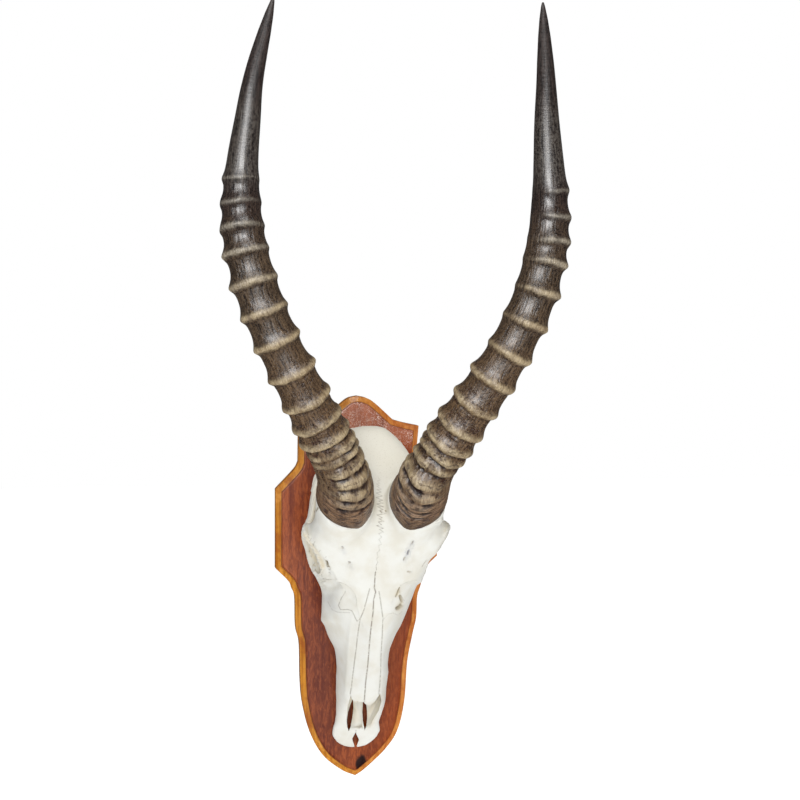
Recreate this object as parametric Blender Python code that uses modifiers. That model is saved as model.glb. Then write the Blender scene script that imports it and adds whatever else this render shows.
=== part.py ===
# Blesbok skull on a wooden shield, made to hang on a wall.
# Metres, +Z up, the front faces -Y. The origin is the middle of the board's back face.
# Points on the skull, teeth and horns are (across, out, up): out is the height above the board's front.

import math

import bmesh
import bpy
from mathutils import Vector

# Board
BOARD_THICK = 0.012
ROUTED_WIDTH = 0.0048
ROUTED_DEPTH = 0.004
ROUTED_STEP = 0.0011
OUTLINE_STEP = 0.0085
KEYHOLE_UP = 0.116
KEYHOLE_ENTRY = 0.0095
KEYHOLE_SLOT = 0.005
KEYHOLE_RISE = 0.016
KEYHOLE_DEPTH = 0.008
KEYHOLE_LIP = 0.003
KEYHOLE_UNDERCUT = 0.0091

# Outline of the board, half a side each, from the top to the bottom: (out from the middle, up, corner)
RIGHT_EDGE = (
    (0.0000, 0.1633, False), (0.0081, 0.1614, False), (0.0156, 0.1566, False), (0.0305, 0.1430, True),
    (0.0400, 0.1403, False), (0.0530, 0.1376, True), (0.0505, 0.1075, True), (0.0535, 0.1010, False),
    (0.0690, 0.0850, True), (0.0700, 0.0255, True), (0.0612, 0.0160, False), (0.0555, -0.0010, False),
    (0.0530, -0.0100, False), (0.0523, -0.0275, False), (0.0492, -0.0420, False), (0.0448, -0.0660, False),
    (0.0425, -0.1000, False), (0.0366, -0.1258, False), (0.0255, -0.1424, False), (0.0085, -0.1580, False),
    (0.0000, -0.1637, False),
)
LEFT_EDGE = (
    (0.0000, 0.1633, False), (0.0075, 0.1616, False), (0.0140, 0.1570, False), (0.0300, 0.1435, True),
    (0.0400, 0.1410, False), (0.0498, 0.1390, True), (0.0500, 0.1080, True), (0.0536, 0.1014, False),
    (0.0691, 0.0849, True), (0.0690, 0.0178, True), (0.0580, 0.0065, False), (0.0549, -0.0004, False),
    (0.0524, -0.0085, False), (0.0517, -0.0330, False), (0.0485, -0.0480, False), (0.0476, -0.0800, False),
    (0.0453, -0.1012, False), (0.0388, -0.1257, False), (0.0279, -0.1449, False), (0.0120, -0.1582, False),
    (0.0000, -0.1637, False),
)

# Skull
FIT_GAP = 0.0003
SKULL_LEAN = 0.010
SKULL_SKEW = 0.050
SKEW_REACH = 45.0
REMESH_SIZE = 0.0019
SKULL_FACES = 3950
SEAT_MARGIN = 0.0009
BOARD_ROOM = (0.3, 0.04, 0.4)
SIDES = (("right", 1.0), ("left", -1.0))
SHOULDER = (0.60, 0.44)
CHEEK = (0.48, 0.55)
PALATE_EDGE = 0.25

# Sections of the skull from the nose up, in millimetres:
# up, top, crown across, crown out, widest across, widest out, low across, low out, palate across, floor
SECTIONS = (
    (-137.0, 6.0, 3.0, 6.0, 7.0, 4.8, 6.0, 2.0, 3.0, 1.6),
    (-134.0, 7.0, 7.5, 7.0, 14.5, 5.0, 13.0, 1.6, 6.0, 1.4),
    (-129.0, 8.0, 10.0, 8.0, 19.5, 5.5, 18.0, 1.4, 8.0, 1.4),
    (-121.0, 10.0, 11.0, 10.0, 21.8, 6.5, 19.6, 1.6, 9.0, 1.8),
    (-111.0, 15.5, 11.5, 15.0, 20.4, 9.0, 18.4, 3.0, 9.0, 3.0),
    (-98.0, 27.0, 12.0, 26.0, 21.4, 13.0, 19.4, 5.0, 10.0, 4.5),
    (-87.0, 44.0, 12.0, 42.0, 22.2, 17.5, 20.0, 7.0, 10.5, 6.5),
    (-70.0, 54.5, 12.5, 52.5, 22.8, 23.0, 21.0, 9.0, 11.0, 9.0),
    (-50.0, 64.5, 13.0, 62.5, 24.6, 28.0, 23.0, 11.0, 12.0, 13.0),
    (-38.0, 70.5, 13.5, 68.5, 29.0, 30.5, 26.5, 12.5, 12.5, 17.0),
    (-24.0, 77.0, 14.0, 75.0, 34.2, 34.0, 30.0, 13.5, 15.0, 21.0),
    (-8.0, 84.5, 15.5, 82.5, 37.6, 40.0, 32.0, 14.0, 17.5, 23.5),
    (8.0, 90.5, 19.0, 88.5, 39.8, 46.0, 33.0, 14.5, 19.0, 25.0),
    (20.0, 95.0, 26.0, 93.0, 44.0, 53.0, 34.0, 15.5, 19.5, 26.0),
    (33.0, 98.5, 36.0, 96.0, 51.0, 63.0, 33.0, 24.0, 18.0, 30.0),
    (48.0, 103.0, 44.0, 99.5, 57.5, 75.0, 34.0, 36.0, 16.0, 34.0),
    (62.0, 109.0, 45.0, 103.0, 59.5, 85.0, 36.0, 40.0, 15.0, 36.0),
    (74.0, 110.0, 39.0, 105.0, 50.0, 80.0, 36.0, 40.0, 15.0, 37.0),
    (86.0, 107.0, 33.0, 101.0, 38.5, 70.0, 34.0, 38.0, 16.0, 37.0),
    (100.0, 101.0, 29.0, 93.0, 36.5, 62.0, 33.0, 34.0, 17.0, 36.0),
    (116.0, 91.0, 25.0, 84.0, 35.0, 57.0, 30.0, 30.0, 17.0, 34.0),
    (127.0, 81.0, 20.0, 76.0, 29.0, 53.0, 25.0, 29.0, 14.0, 33.0),
    (138.0, 69.0, 13.0, 66.0, 19.5, 50.0, 18.0, 31.0, 10.0, 34.0),
    (145.0, 59.0, 6.0, 57.0, 10.0, 48.0, 9.0, 38.0, 5.0, 39.0),
)

# Orbit: the ring of bone round the eye, from the brow forward and round, in millimetres
ORBIT_RIM = (
    (57.3, 88.5, 62.5), (50.5, 90.0, 53.5), (41.5, 86.5, 43.0), (34.5, 80.5, 33.0), (33.5, 70.0, 28.0),
    (39.0, 58.0, 26.5), (45.5, 50.0, 32.5), (50.5, 46.0, 43.0), (54.0, 47.0, 53.0), (54.5, 56.0, 61.5),
    (54.5, 68.0, 65.0), (55.5, 79.0, 65.5),
)
RIM_RADIUS = 0.0031
CHEEK_ARCH = ((39.0, 47.0, 20.0), (46.5, 46.0, 34.0), (49.5, 45.0, 47.0), (50.0, 43.5, 60.0),
              (48.5, 42.0, 72.0), (45.5, 41.5, 86.0), (42.0, 41.5, 97.0), (34.0, 43.0, 109.0))
ARCH_RADIUS = 0.0033
ARCH_SPREAD = 3.0
JAW_SHELF = ((37.5, 31.0, 91.0), (8.5, 6.0, 15.0))

# Rounded masses under the braincase on the right side, in millimetres: name, centre, radii
UNDERSIDE = (
    ("bulla", (18.5, 27.0, 101.0), (8.5, 10.5, 13.5)),
    ("condyle", (11.0, 22.0, 129.5), (8.5, 12.0, 9.5)),
    ("pterygoid", (9.5, 37.0, 44.0), (3.0, 18.0, 18.0)),
)
SPIKE = ((24.0, 34.0, 120.0), (26.0, 20.0, 124.0), (25.5, 6.5, 122.0))
SPIKE_RADII = (0.0068, 0.0045, 0.0022)

# Hollows in the bone, in millimetres: name, centre, radii, and how far it is turned about the out axis
SIDE_HOLLOWS = (
    ("orbit", (49.0, 68.5, 47.0), (27.0, 19.2, 21.5), 31.0),
    ("temple", (48.0, 72.0, 94.0), (8.5, 24.0, 23.0), -14.0),
    ("under_cheek", (31.0, 20.0, 66.0), (12.5, 33.0, 30.0), 0.0),
    ("tear_pit", (46.5, 71.0, 1.0), (15.0, 20.8, 18.5), 28.0),
    ("palate_slit", (6.3, 4.0, -107.5), (3.3, 15.0, 17.0), -3.0),
)
MIDDLE_HOLLOWS = (
    ("throat", (0.0, 22.0, 52.0), (8.0, 13.0, 26.0), 0.0),
    ("spine_hole", (0.0, 38.0, 145.0), (9.5, 9.0, 15.0), 0.0),
)
NOSE_WALL = 3.6
NOSE_FROM = -100.0
NOSE_TO = -20.0

# The open front of the nose: up, half width, floor, top
NOSE_MOUTH = ((-90.5, 15.2, 10.5, 62.0), (-104.0, 14.4, 9.5, 50.0), (-116.0, 12.0, 9.0, 44.0),
              (-123.5, 7.5, 9.5, 40.0))
MOUTH_FLOOR = 0.7
MOUTH_CORNER = 4.0
NOTCH = ((0.0, -123.0), (3.2, -129.0), (0.7, -135.5), (0.7, -140.0), (-0.7, -140.0), (-0.7, -135.5),
         (-3.2, -129.0))
NOTCH_DEPTH = (-4.0, 16.0)
STUMP_RADIUS = 0.0222
STUMP_LENGTH = 0.034
STUMP_OVER = 0.001
SEAT_HEIGHT = 0.060

# Each horn's foot is cut aslant, lowest in front and a little towards the middle of the forehead.
FOOT_MIDDLE = 0.0115
FOOT_SLOPE = 0.42
FOOT_TURN = math.radians(17.0)
FOOT_STRAIGHT = 0.024
FOOT_REACH = 0.058

# Horn stumps and horns, base to tip, in millimetres
RIGHT_HORN = ((28.5, 97.5, 79.5), (30.4, 111.0, 93.0), (36.4, 125.5, 116.4), (58.7, 149.5, 157.8),
              (76.1, 163.5, 188.2), (91.7, 172.5, 219.3), (104.0, 177.5, 251.9), (111.0, 180.0, 286.1),
              (112.5, 181.5, 322.0), (107.4, 189.7, 371.8), (102.8, 201.0, 407.0), (93.7, 223.0, 453.2))
LEFT_HORN = ((-26.5, 97.5, 79.5), (-28.0, 111.0, 93.5), (-35.9, 127.0, 122.0), (-60.1, 153.0, 166.8),
             (-77.6, 166.0, 198.7), (-93.0, 174.0, 230.3), (-104.5, 178.5, 262.5), (-111.5, 180.4, 295.6),
             (-112.4, 182.5, 335.0), (-109.1, 189.2, 369.9), (-105.0, 199.0, 402.0), (-94.4, 222.0, 449.2))

HORN_SIDES = (("right", RIGHT_HORN, 1.0), ("left", LEFT_HORN, -1.0))

# Distance from the tip to each ring's crest grows by these steps, in millimetres
RIGHT_RINGS = (134.0, 21.0, 18.0, 17.0, 22.5, 22.5, 25.5, 24.5, 21.5, 20.0, 20.5, 17.5, 14.0, 11.0, 9.0)
LEFT_RINGS = (121.0, 15.0, 17.0, 20.0, 23.5, 22.5, 24.0, 24.0, 22.0, 21.0, 21.5, 17.0, 13.5, 11.0, 9.5)

# The horn's thickness between its rings: (distance from the tip, radius), in millimetres
HORN_TAPER = ((0.0, 0.7), (3.0, 1.5), (12.0, 3.0), (25.0, 4.5), (43.0, 6.0), (61.0, 7.2), (78.0, 8.5),
              (95.0, 9.7), (125.0, 11.7), (160.0, 13.9), (205.0, 15.1), (255.0, 15.4), (300.0, 16.4),
              (345.0, 17.4), (370.0, 18.8), (392.0, 21.4), (408.0, 22.6), (430.0, 22.8))
RING_HEIGHT = 0.0030
RING_LENGTH = 0.0044
RING_LEAST = 0.0007
RING_SIDES = (0.82, 0.10, 0.30)
RINGS_UNEVEN = 7.0
RINGS_GROWING = (1.2, 3.5)
RINGS_FADING = 5.5
HORN_CORNERS = 14
BLOCK_CORNERS = 28
HORN_TIP_STEP = 15.0
HORN_BASE_ROUND = 0.0030
HORN_BASE_INSETS = (0.0022, 0.0006, 0.0)

# Cheek teeth: middle of each row, nose end first, in millimetres, and each crown's size
TOOTH_ROW = ((18.6, -45.0), (21.0, -30.0), (23.6, -14.0), (25.2, 4.0), (25.4, 20.0), (24.6, 31.0))
TOOTH_LENGTHS = (8.0, 9.5, 10.5, 14.0, 16.0, 16.5)
TOOTH_WIDTHS = (7.0, 9.0, 10.5, 12.0, 12.5, 11.5)
TONGUE_SIDE = ((0.0, 0.30), (0.22, 0.47), (0.50, 0.50), (0.78, 0.47))
CHEEK_SIDE = ((0.0, 0.46), (0.25, 0.36), (0.50, 0.42), (0.75, 0.36))
TOOTH_TOP = 0.0175
SOCKET_ROOF = 0.0182
TOOTH_GAP = 0.0005
GROOVE_WIDTH = 0.0132
GROOVE_NOSE_END = 0.62
GROOVE_STOPS = 9
TOOTH_CROWN = 0.0022
TOOTH_SIZES = (0.86, 1.0, 0.93)


def clear_scene():
    for old in list(bpy.data.objects):
        bpy.data.objects.remove(old, do_unlink=True)


def new_collection(name):
    made = bpy.data.collections.new(name)
    bpy.context.scene.collection.children.link(made)
    return made


def place(across, out, up):
    # A point given in millimetres on the mounted skull, in the object's own frame.
    return Vector((across, -out, up)) / 1000.0 - Vector((0.0, BOARD_THICK, 0.0))


def on_skull(across, out, up):
    # The same for a point of the bone, which leans a little and is not quite even from side to side.
    crown = blend_table([(row[0], row[1]) for row in SECTIONS], up)
    below = min(SKEW_REACH, crown - out)
    return place(across + SKULL_LEAN * up + SKULL_SKEW * below, out, up)


def surface(name, colour, roughness):
    made = bpy.data.materials.new(name)
    made.use_nodes = True
    shader = made.node_tree.nodes["Principled BSDF"]
    shader.inputs["Base Color"].default_value = (*colour, 1.0)
    shader.inputs["Roughness"].default_value = roughness
    shader.inputs["Metallic"].default_value = 0.0
    return made


def mesh_object(name, bm, collection):
    mesh = bpy.data.meshes.new(name)
    bm.to_mesh(mesh)
    bm.free()
    made = bpy.data.objects.new(name, mesh)
    collection.objects.link(made)
    return made


def freeze(obj):
    # Turns a curve, or a mesh with modifiers, into a plain mesh object of the same name and place.
    bpy.context.view_layer.update()
    shape = obj.evaluated_get(bpy.context.evaluated_depsgraph_get())
    mesh = bpy.data.meshes.new_from_object(shape)
    bm = bmesh.new()
    bm.from_mesh(mesh)
    bmesh.ops.remove_doubles(bm, verts=bm.verts, dist=0.000001)
    bmesh.ops.transform(bm, matrix=obj.matrix_world, verts=bm.verts)
    bmesh.ops.recalc_face_normals(bm, faces=bm.faces)
    name = obj.name
    collection = obj.users_collection[0]
    bpy.data.objects.remove(obj, do_unlink=True)
    bpy.data.meshes.remove(mesh)
    return mesh_object(name, bm, collection)


def join(name, pieces, collection):
    bm = bmesh.new()
    for piece in pieces:
        piece.data.transform(piece.matrix_world)
        bm.from_mesh(piece.data)
        bpy.data.objects.remove(piece, do_unlink=True)
    return mesh_object(name, bm, collection)


def boolean(obj, other, operation):
    cut = obj.modifiers.new(other.name, "BOOLEAN")
    cut.operation = operation
    cut.object = other
    cut.solver = "EXACT"


def spline_point(points, position):
    # A smooth curve through the points. The position counts points, so 1.5 is between the second and third.
    last = len(points) - 1
    first = min(int(position), last - 1)
    part = position - first
    ends = [Vector(points[max(0, min(last, first + step))]) for step in (-1, 0, 1, 2)]
    if first == 0:
        ends[0] = 2.0 * ends[1] - ends[2]
    if first == last - 1:
        ends[3] = 2.0 * ends[2] - ends[1]
    before, start, end, after = ends
    slope_in = (end - before) * 0.5
    slope_out = (after - start) * 0.5
    square = part * part
    cube = square * part
    return (start * (2.0 * cube - 3.0 * square + 1.0) + slope_in * (cube - 2.0 * square + part)
            + end * (3.0 * square - 2.0 * cube) + slope_out * (cube - square))


def blend_table(table, value):
    # The second column of a table, read smoothly at a value of the first.
    for (low, at_low), (high, at_high) in zip(table, table[1:]):
        if value <= high:
            part = max(0.0, (value - low) / (high - low))
            return at_low + (at_high - at_low) * part
    return table[-1][1]


def edge_points(edge, side):
    # Corners stay sharp, and the runs between them are smooth curves.
    corners = [0] + [index for index, point in enumerate(edge) if point[2]] + [len(edge) - 1]
    points = []
    for start, end in zip(corners, corners[1:]):
        run = [(across * side, up, 0.0) for across, up, corner in edge[start:end + 1]]
        length = sum((Vector(ahead) - Vector(here)).length for here, ahead in zip(run, run[1:]))
        steps = round(length / OUTLINE_STEP) if len(run) > 2 else 1
        for step in range(steps):
            points.append(spline_point(run, step * (len(run) - 1) / steps))
    return points


def make_board(parts, cutters, wood):
    outline = edge_points(RIGHT_EDGE, 1.0)
    bottom = Vector((0.0, RIGHT_EDGE[-1][1], 0.0))
    other_side = edge_points(LEFT_EDGE, -1.0)[1:]
    outline = outline + [bottom] + other_side[::-1]
    curve = bpy.data.curves.new("plaque", "CURVE")
    curve.dimensions = "2D"
    curve.fill_mode = "BOTH"
    curve.extrude = BOARD_THICK / 2.0
    spline = curve.splines.new("POLY")
    spline.points.add(len(outline) - 1)
    for point, place_at in zip(spline.points, outline):
        point.co = (place_at.x, place_at.y, 0.0, 1.0)
    spline.use_cyclic_u = True
    board = bpy.data.objects.new("plaque", curve)
    board.rotation_euler = (math.radians(90.0), 0.0, 0.0)
    board.location = (0.0, -BOARD_THICK / 2.0, 0.0)
    parts.objects.link(board)
    board = freeze(board)
    rout_edge(board)
    for cutter in keyhole_cutters(cutters):
        boolean(board, cutter, "DIFFERENCE")
    board.data.materials.append(wood)
    return board


def rout_edge(board):
    # A small upright step round the face, and a slope from it out to the side.
    bm = bmesh.new()
    bm.from_mesh(board.data)
    bm.normal_update()
    middle = -BOARD_THICK / 2.0
    front = [f for f in bm.faces if all(v.co.y < middle for v in f.verts)]
    face = bmesh.ops.dissolve_faces(bm, faces=front)["region"]
    back = [f for f in bm.faces if all(v.co.y > middle for v in f.verts)]
    bmesh.ops.dissolve_faces(bm, faces=back)
    raise_face(face, -ROUTED_DEPTH)
    for inward, forward in ((ROUTED_WIDTH, ROUTED_DEPTH - ROUTED_STEP), (ROUTED_STEP / 2.0, ROUTED_STEP)):
        bmesh.ops.inset_region(bm, faces=face, thickness=inward, use_even_offset=True)
        raise_face(face, forward)
    bm.to_mesh(board.data)
    bm.free()


def raise_face(face, forward):
    for vert in face[0].verts:
        vert.co.y -= forward


def keyhole_cutters(cutters):
    # A round entry, a narrow slot above it, and a wider undercut behind the slot's lip.
    deep = KEYHOLE_DEPTH + BOARD_THICK
    middle = Vector((0.0, (BOARD_THICK - KEYHOLE_DEPTH) / 2.0, KEYHOLE_UP))
    made = []
    bpy.ops.mesh.primitive_cylinder_add(vertices=20, radius=KEYHOLE_ENTRY / 2.0, depth=deep,
                                        location=middle, rotation=(math.radians(90.0), 0.0, 0.0))
    made.append(named(bpy.context.object, "keyhole_entry", cutters))
    slot_middle = middle + Vector((0.0, 0.0, KEYHOLE_RISE / 2.0))
    made.append(box("keyhole_slot", slot_middle, (KEYHOLE_SLOT, deep, KEYHOLE_RISE), cutters))
    under = KEYHOLE_DEPTH - KEYHOLE_LIP
    under_middle = Vector((0.0, -KEYHOLE_LIP - under / 2.0, slot_middle.z))
    made.append(box("keyhole_undercut", under_middle, (KEYHOLE_UNDERCUT, under, KEYHOLE_RISE), cutters))
    return made


def named(obj, name, collection):
    obj.name = name
    for old in list(obj.users_collection):
        old.objects.unlink(obj)
    collection.objects.link(obj)
    return obj


def box(name, middle, size, collection):
    bpy.ops.mesh.primitive_cube_add(size=1.0, location=middle)
    made = named(bpy.context.object, name, collection)
    made.scale = size
    bpy.ops.object.transform_apply(location=False, rotation=False, scale=True)
    return made


def between(start, end, share):
    return start + (end - start) * share


def section_ring(row, thinner=0.0):
    # Half a section of the skull from the top round to the floor, and its mirror half.
    (up, top, crown_across, crown_out, wide_across, wide_out, low_across, low_out, palate_across,
     floor) = row
    shoulder = (between(crown_across, wide_across, SHOULDER[0]), between(crown_out, wide_out, SHOULDER[1]))
    cheek = (between(wide_across, low_across, CHEEK[0]), between(wide_out, low_out, CHEEK[1]))
    inner = between(low_out, floor, PALATE_EDGE)
    half = ((0.0, top), (crown_across, crown_out), shoulder, (wide_across, wide_out), cheek,
            (low_across, low_out), (palate_across, inner), (0.0, floor))
    middle_out = (top + floor) / 2.0
    shrunk = []
    for across, out in half:
        across_in = max(0.0, across - thinner)
        out_in = out - thinner if out > middle_out else out + thinner
        shrunk.append((across_in, out_in, up))
    return shrunk + [(-across, out, up) for across, out, up in shrunk[-2:0:-1]]


def loft(name, rings, collection):
    bm = bmesh.new()
    rows = [[bm.verts.new(on_skull(*point)) for point in ring] for ring in rings]
    count = len(rows[0])
    for lower, upper in zip(rows, rows[1:]):
        for index in range(count):
            following = (index + 1) % count
            bm.faces.new((lower[index], lower[following], upper[following], upper[index]))
    bm.faces.new(rows[0][::-1])
    bm.faces.new(rows[-1])
    bmesh.ops.recalc_face_normals(bm, faces=bm.faces)
    return mesh_object(name, bm, collection)


def soften(obj, levels):
    sub = obj.modifiers.new("soft", "SUBSURF")
    sub.levels = levels
    sub.render_levels = levels
    return freeze(obj)


def ball(name, centre, radii, turn, collection):
    bpy.ops.mesh.primitive_uv_sphere_add(segments=24, ring_count=14, radius=1.0, location=on_skull(*centre))
    made = named(bpy.context.object, name, collection)
    made.scale = Vector(radii) / 1000.0
    made.rotation_euler = (0.0, math.radians(turn), 0.0)
    bpy.ops.object.transform_apply(location=False, rotation=True, scale=True)
    return made


def tube(name, points, radii, collection, closed=False):
    # A round bar along a smooth curve through the points, with its own radius at each of them.
    curve = bpy.data.curves.new(name, "CURVE")
    curve.dimensions = "3D"
    curve.bevel_depth = 1.0
    curve.bevel_resolution = 3
    curve.resolution_u = 5
    curve.use_fill_caps = not closed
    spline = curve.splines.new("BEZIER")
    spline.bezier_points.add(len(points) - 1)
    for knot, point, radius in zip(spline.bezier_points, points, radii):
        knot.co = on_skull(*point)
        knot.radius = radius
        knot.handle_left_type = "AUTO"
        knot.handle_right_type = "AUTO"
    spline.use_cyclic_u = closed
    made = bpy.data.objects.new(name, curve)
    collection.objects.link(made)
    return freeze(made)


def skull_mass(parts):
    masses = [soften(loft("face_and_braincase", [section_ring(row) for row in SECTIONS], parts), 2)]
    for word, side in SIDES:
        for name, centre, radii in UNDERSIDE:
            masses.append(ball(name + "_" + word, on_side(centre, side), radii, 0.0, parts))
        spike = [on_side(point, side) for point in SPIKE]
        masses.append(tube("spike_" + word, spike, SPIKE_RADII, parts))
    for word, path, side in HORN_SIDES:
        levels = ((0.0, -STUMP_LENGTH), (1.0, STUMP_OVER))
        masses.append(horn_block("stump_" + word, path, side, STUMP_RADIUS, levels, parts))
    return masses


def on_side(point, side):
    across, out, up = point
    return (side * across, out, up)


def horn_axes(path, side):
    # The lower end of the horn's middle line, and its directions: up the horn, forward and outward.
    base = place(*path[0])
    along = (place(*spline_point(path, 0.35)) - base).normalized()
    forward = (Vector((0.0, -1.0, 0.0)) - along * -along.y).normalized()
    return base, along, forward, along.cross(forward) * side


def foot_level(angle, radius):
    # How far up its middle line the slanted foot of the horn is, at an angle round it.
    return FOOT_MIDDLE - FOOT_SLOPE * radius * math.cos(angle + FOOT_TURN)


def horn_block(name, path, side, radius, levels, collection):
    # A round block on the horn's middle line. Each end's level has a share of the foot's slant.
    base, along, forward, outward = horn_axes(path, side)
    rings = []
    for slant, offset in levels:
        ring = []
        for corner in range(BLOCK_CORNERS):
            angle = math.tau * corner / BLOCK_CORNERS
            level = slant * foot_level(angle, radius) + offset
            across = forward * math.cos(angle) + outward * math.sin(angle)
            ring.append(base + along * level + across * radius)
        rings.append(ring)
    return tube_of_rings(name, rings, collection)


def skull_rims(parts):
    made = []
    for word, side in SIDES:
        rim = [on_side(point, side) for point in ORBIT_RIM]
        made.append(tube("orbit_rim_" + word, rim, [RIM_RADIUS] * len(rim), parts, closed=True))
        for layer, spread in (("upper", ARCH_SPREAD), ("lower", -ARCH_SPREAD)):
            bar = [(side * across, out + spread, up) for across, out, up in CHEEK_ARCH]
            made.append(tube("cheek_arch_%s_%s" % (layer, word), bar, [ARCH_RADIUS] * len(bar), parts))
        centre, radii = JAW_SHELF
        made.append(ball("jaw_shelf_" + word, on_side(centre, side), radii, 0.0, parts))
    return made


def skull_hollows(cutters):
    # Everything that is cut out of the bone before its thin rims are added.
    made = []
    for word, side in SIDES:
        for name, centre, radii, turn in SIDE_HOLLOWS:
            made.append(ball(name + "_" + word, on_side(centre, side), radii, side * turn, cutters))
    for name, centre, radii, turn in MIDDLE_HOLLOWS:
        made.append(ball(name, centre, radii, turn, cutters))
    made.append(nasal_passage(cutters))
    made.append(nose_mouth(cutters))
    return made


def nasal_passage(cutters):
    # The hollow nose, whose walls follow the face.
    rings = [section_ring(row, thinner=NOSE_WALL) for row in SECTIONS if NOSE_FROM < row[0] < NOSE_TO]
    return soften(loft("nasal_passage", rings, cutters), 1)


def nose_mouth(cutters):
    # The nose is open to the front below the tips of the nasal bones.
    rings = []
    for up, half, floor, top in NOSE_MOUTH:
        flat = half * MOUTH_FLOOR
        rings.append([(-flat, floor, up), (flat, floor, up), (half, floor + MOUTH_CORNER, up),
                      (half, top, up), (-half, top, up), (-half, floor + MOUTH_CORNER, up)])
    return loft("nose_mouth", rings, cutters)


def tip_notch(cutters):
    # The small diamond gap where the two sides of the muzzle part at its tip.
    rings = [[(across, out, up) for across, up in NOTCH] for out in NOTCH_DEPTH]
    return loft("tip_notch", rings, cutters)


def remesh(obj, passes):
    grid = obj.modifiers.new("remesh", "REMESH")
    grid.mode = "VOXEL"
    grid.voxel_size = REMESH_SIZE
    smooth = obj.modifiers.new("smooth", "SMOOTH")
    smooth.factor = 0.5
    smooth.iterations = passes
    return freeze(obj)


def make_skull(parts, cutters, bone):
    skull = join("skull", skull_mass(parts), parts)
    skull = remesh(skull, 4)
    for hollow in skull_hollows(cutters):
        boolean(skull, hollow, "DIFFERENCE")
    skull = freeze(skull)
    skull = join("skull", [skull] + skull_rims(parts), parts)
    skull = remesh(skull, 3)
    thin = skull.modifiers.new("fewer faces", "DECIMATE")
    thin.ratio = SKULL_FACES / (2.0 * len(skull.data.polygons))
    skull = freeze(skull)
    boolean(skull, tip_notch(cutters), "DIFFERENCE")
    for word, path, side in HORN_SIDES:
        levels = ((1.0, 0.0), (0.0, SEAT_HEIGHT))
        radius = blend_table(HORN_TAPER, HORN_TAPER[-1][0]) / 1000.0 + SEAT_MARGIN
        seat = horn_block("horn_seat_" + word, path, side, radius, levels, cutters)
        boolean(skull, seat, "DIFFERENCE")
    for word, side in SIDES:
        boolean(skull, tooth_groove("tooth_groove_" + word, side, cutters), "DIFFERENCE")
    boolean(skull, board_clearance(cutters), "DIFFERENCE")
    skull.data.shade_smooth()
    skull.data.materials.append(bone)
    return skull


def board_clearance(cutters):
    # Keeps the bone clear of the board.
    middle = (0.0, BOARD_ROOM[1] / 2.0 - BOARD_THICK - FIT_GAP, 0.0)
    return box("board_clearance", middle, BOARD_ROOM, cutters)


def row_point(side, distance):
    # A place on the tooth row, that many millimetres back from its nose end, and the row's direction there.
    points = [(side * across, up, 0.0) for across, up in TOOTH_ROW]
    steps = 60
    travelled = 0.0
    here = spline_point(points, 0.0)
    for step in range(1, steps * (len(points) - 1) + 1):
        ahead = spline_point(points, step / steps)
        piece = (ahead - here).length
        if travelled + piece >= distance:
            break
        travelled += piece
        here = ahead
    return here, (ahead - here).normalized()


def tooth_groove(name, side, cutters):
    # One long socket for a whole row of teeth.
    length = sum(TOOTH_LENGTHS) + (len(TOOTH_LENGTHS) - 1) * TOOTH_GAP * 1000.0
    rings = []
    for out in (-6.0, SOCKET_ROOF * 1000.0):
        inner = []
        outer = []
        for stop in range(GROOVE_STOPS):
            middle, along = row_point(side, length * stop / (GROOVE_STOPS - 1))
            reach = (-1.0 if stop == 0 else 1.0 if stop == GROOVE_STOPS - 1 else 0.0)
            middle = middle + along * reach
            across = Vector((along.y, -along.x, 0.0)) * (GROOVE_WIDTH * 500.0)
            narrow = between(GROOVE_NOSE_END, 1.0, min(1.0, stop / 3.0))
            inner.append((middle.x - across.x * narrow, out, middle.y - across.y * narrow))
            outer.append((middle.x + across.x * narrow, out, middle.y + across.y * narrow))
        rings.append(inner + outer[::-1])
    return loft(name, rings, cutters)


def tooth_outline(length, width, lobes):
    # Half round lobes on the tongue side, and ribs between upright grooves on the cheek side.
    points = []
    lobe = length / lobes
    for index in range(lobes):
        start = -length / 2.0 + index * lobe
        points += [(start + lobe * along, -width * half) for along, half in TONGUE_SIDE]
    points.append((length / 2.0, -width * TONGUE_SIDE[0][1]))
    for index in range(lobes):
        start = length / 2.0 - index * lobe
        points += [(start - lobe * along, width * half) for along, half in CHEEK_SIDE]
    points.append((-length / 2.0, width * CHEEK_SIDE[0][1]))
    return points


def make_teeth(parts, enamel):
    for word, side in SIDES:
        reached = 0.0
        for index, (length, width) in enumerate(zip(TOOTH_LENGTHS, TOOTH_WIDTHS)):
            middle, along = row_point(side, reached + length / 2.0)
            reached += length + TOOTH_GAP * 1000.0
            cheek = Vector((along.y, -along.x, 0.0)) * side
            lobes = 2 if index > 2 else 1
            rings = []
            for out, size in zip((FIT_GAP, FIT_GAP + TOOTH_CROWN, TOOTH_TOP), TOOTH_SIZES):
                ring = []
                for lengthwise, crosswise in tooth_outline(length, width, lobes):
                    spot = middle + (along * lengthwise + cheek * crosswise) * size
                    ring.append((spot.x, out * 1000.0, spot.y))
                rings.append(ring)
            tooth = loft("tooth_%s_%d" % (word, index + 1), rings, parts)
            tooth.data.materials.append(enamel)


def ring_crests(ring_steps):
    crests = []
    for step in ring_steps:
        crests.append(step + (crests[-1] if crests else 0.0))
    return crests


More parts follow.
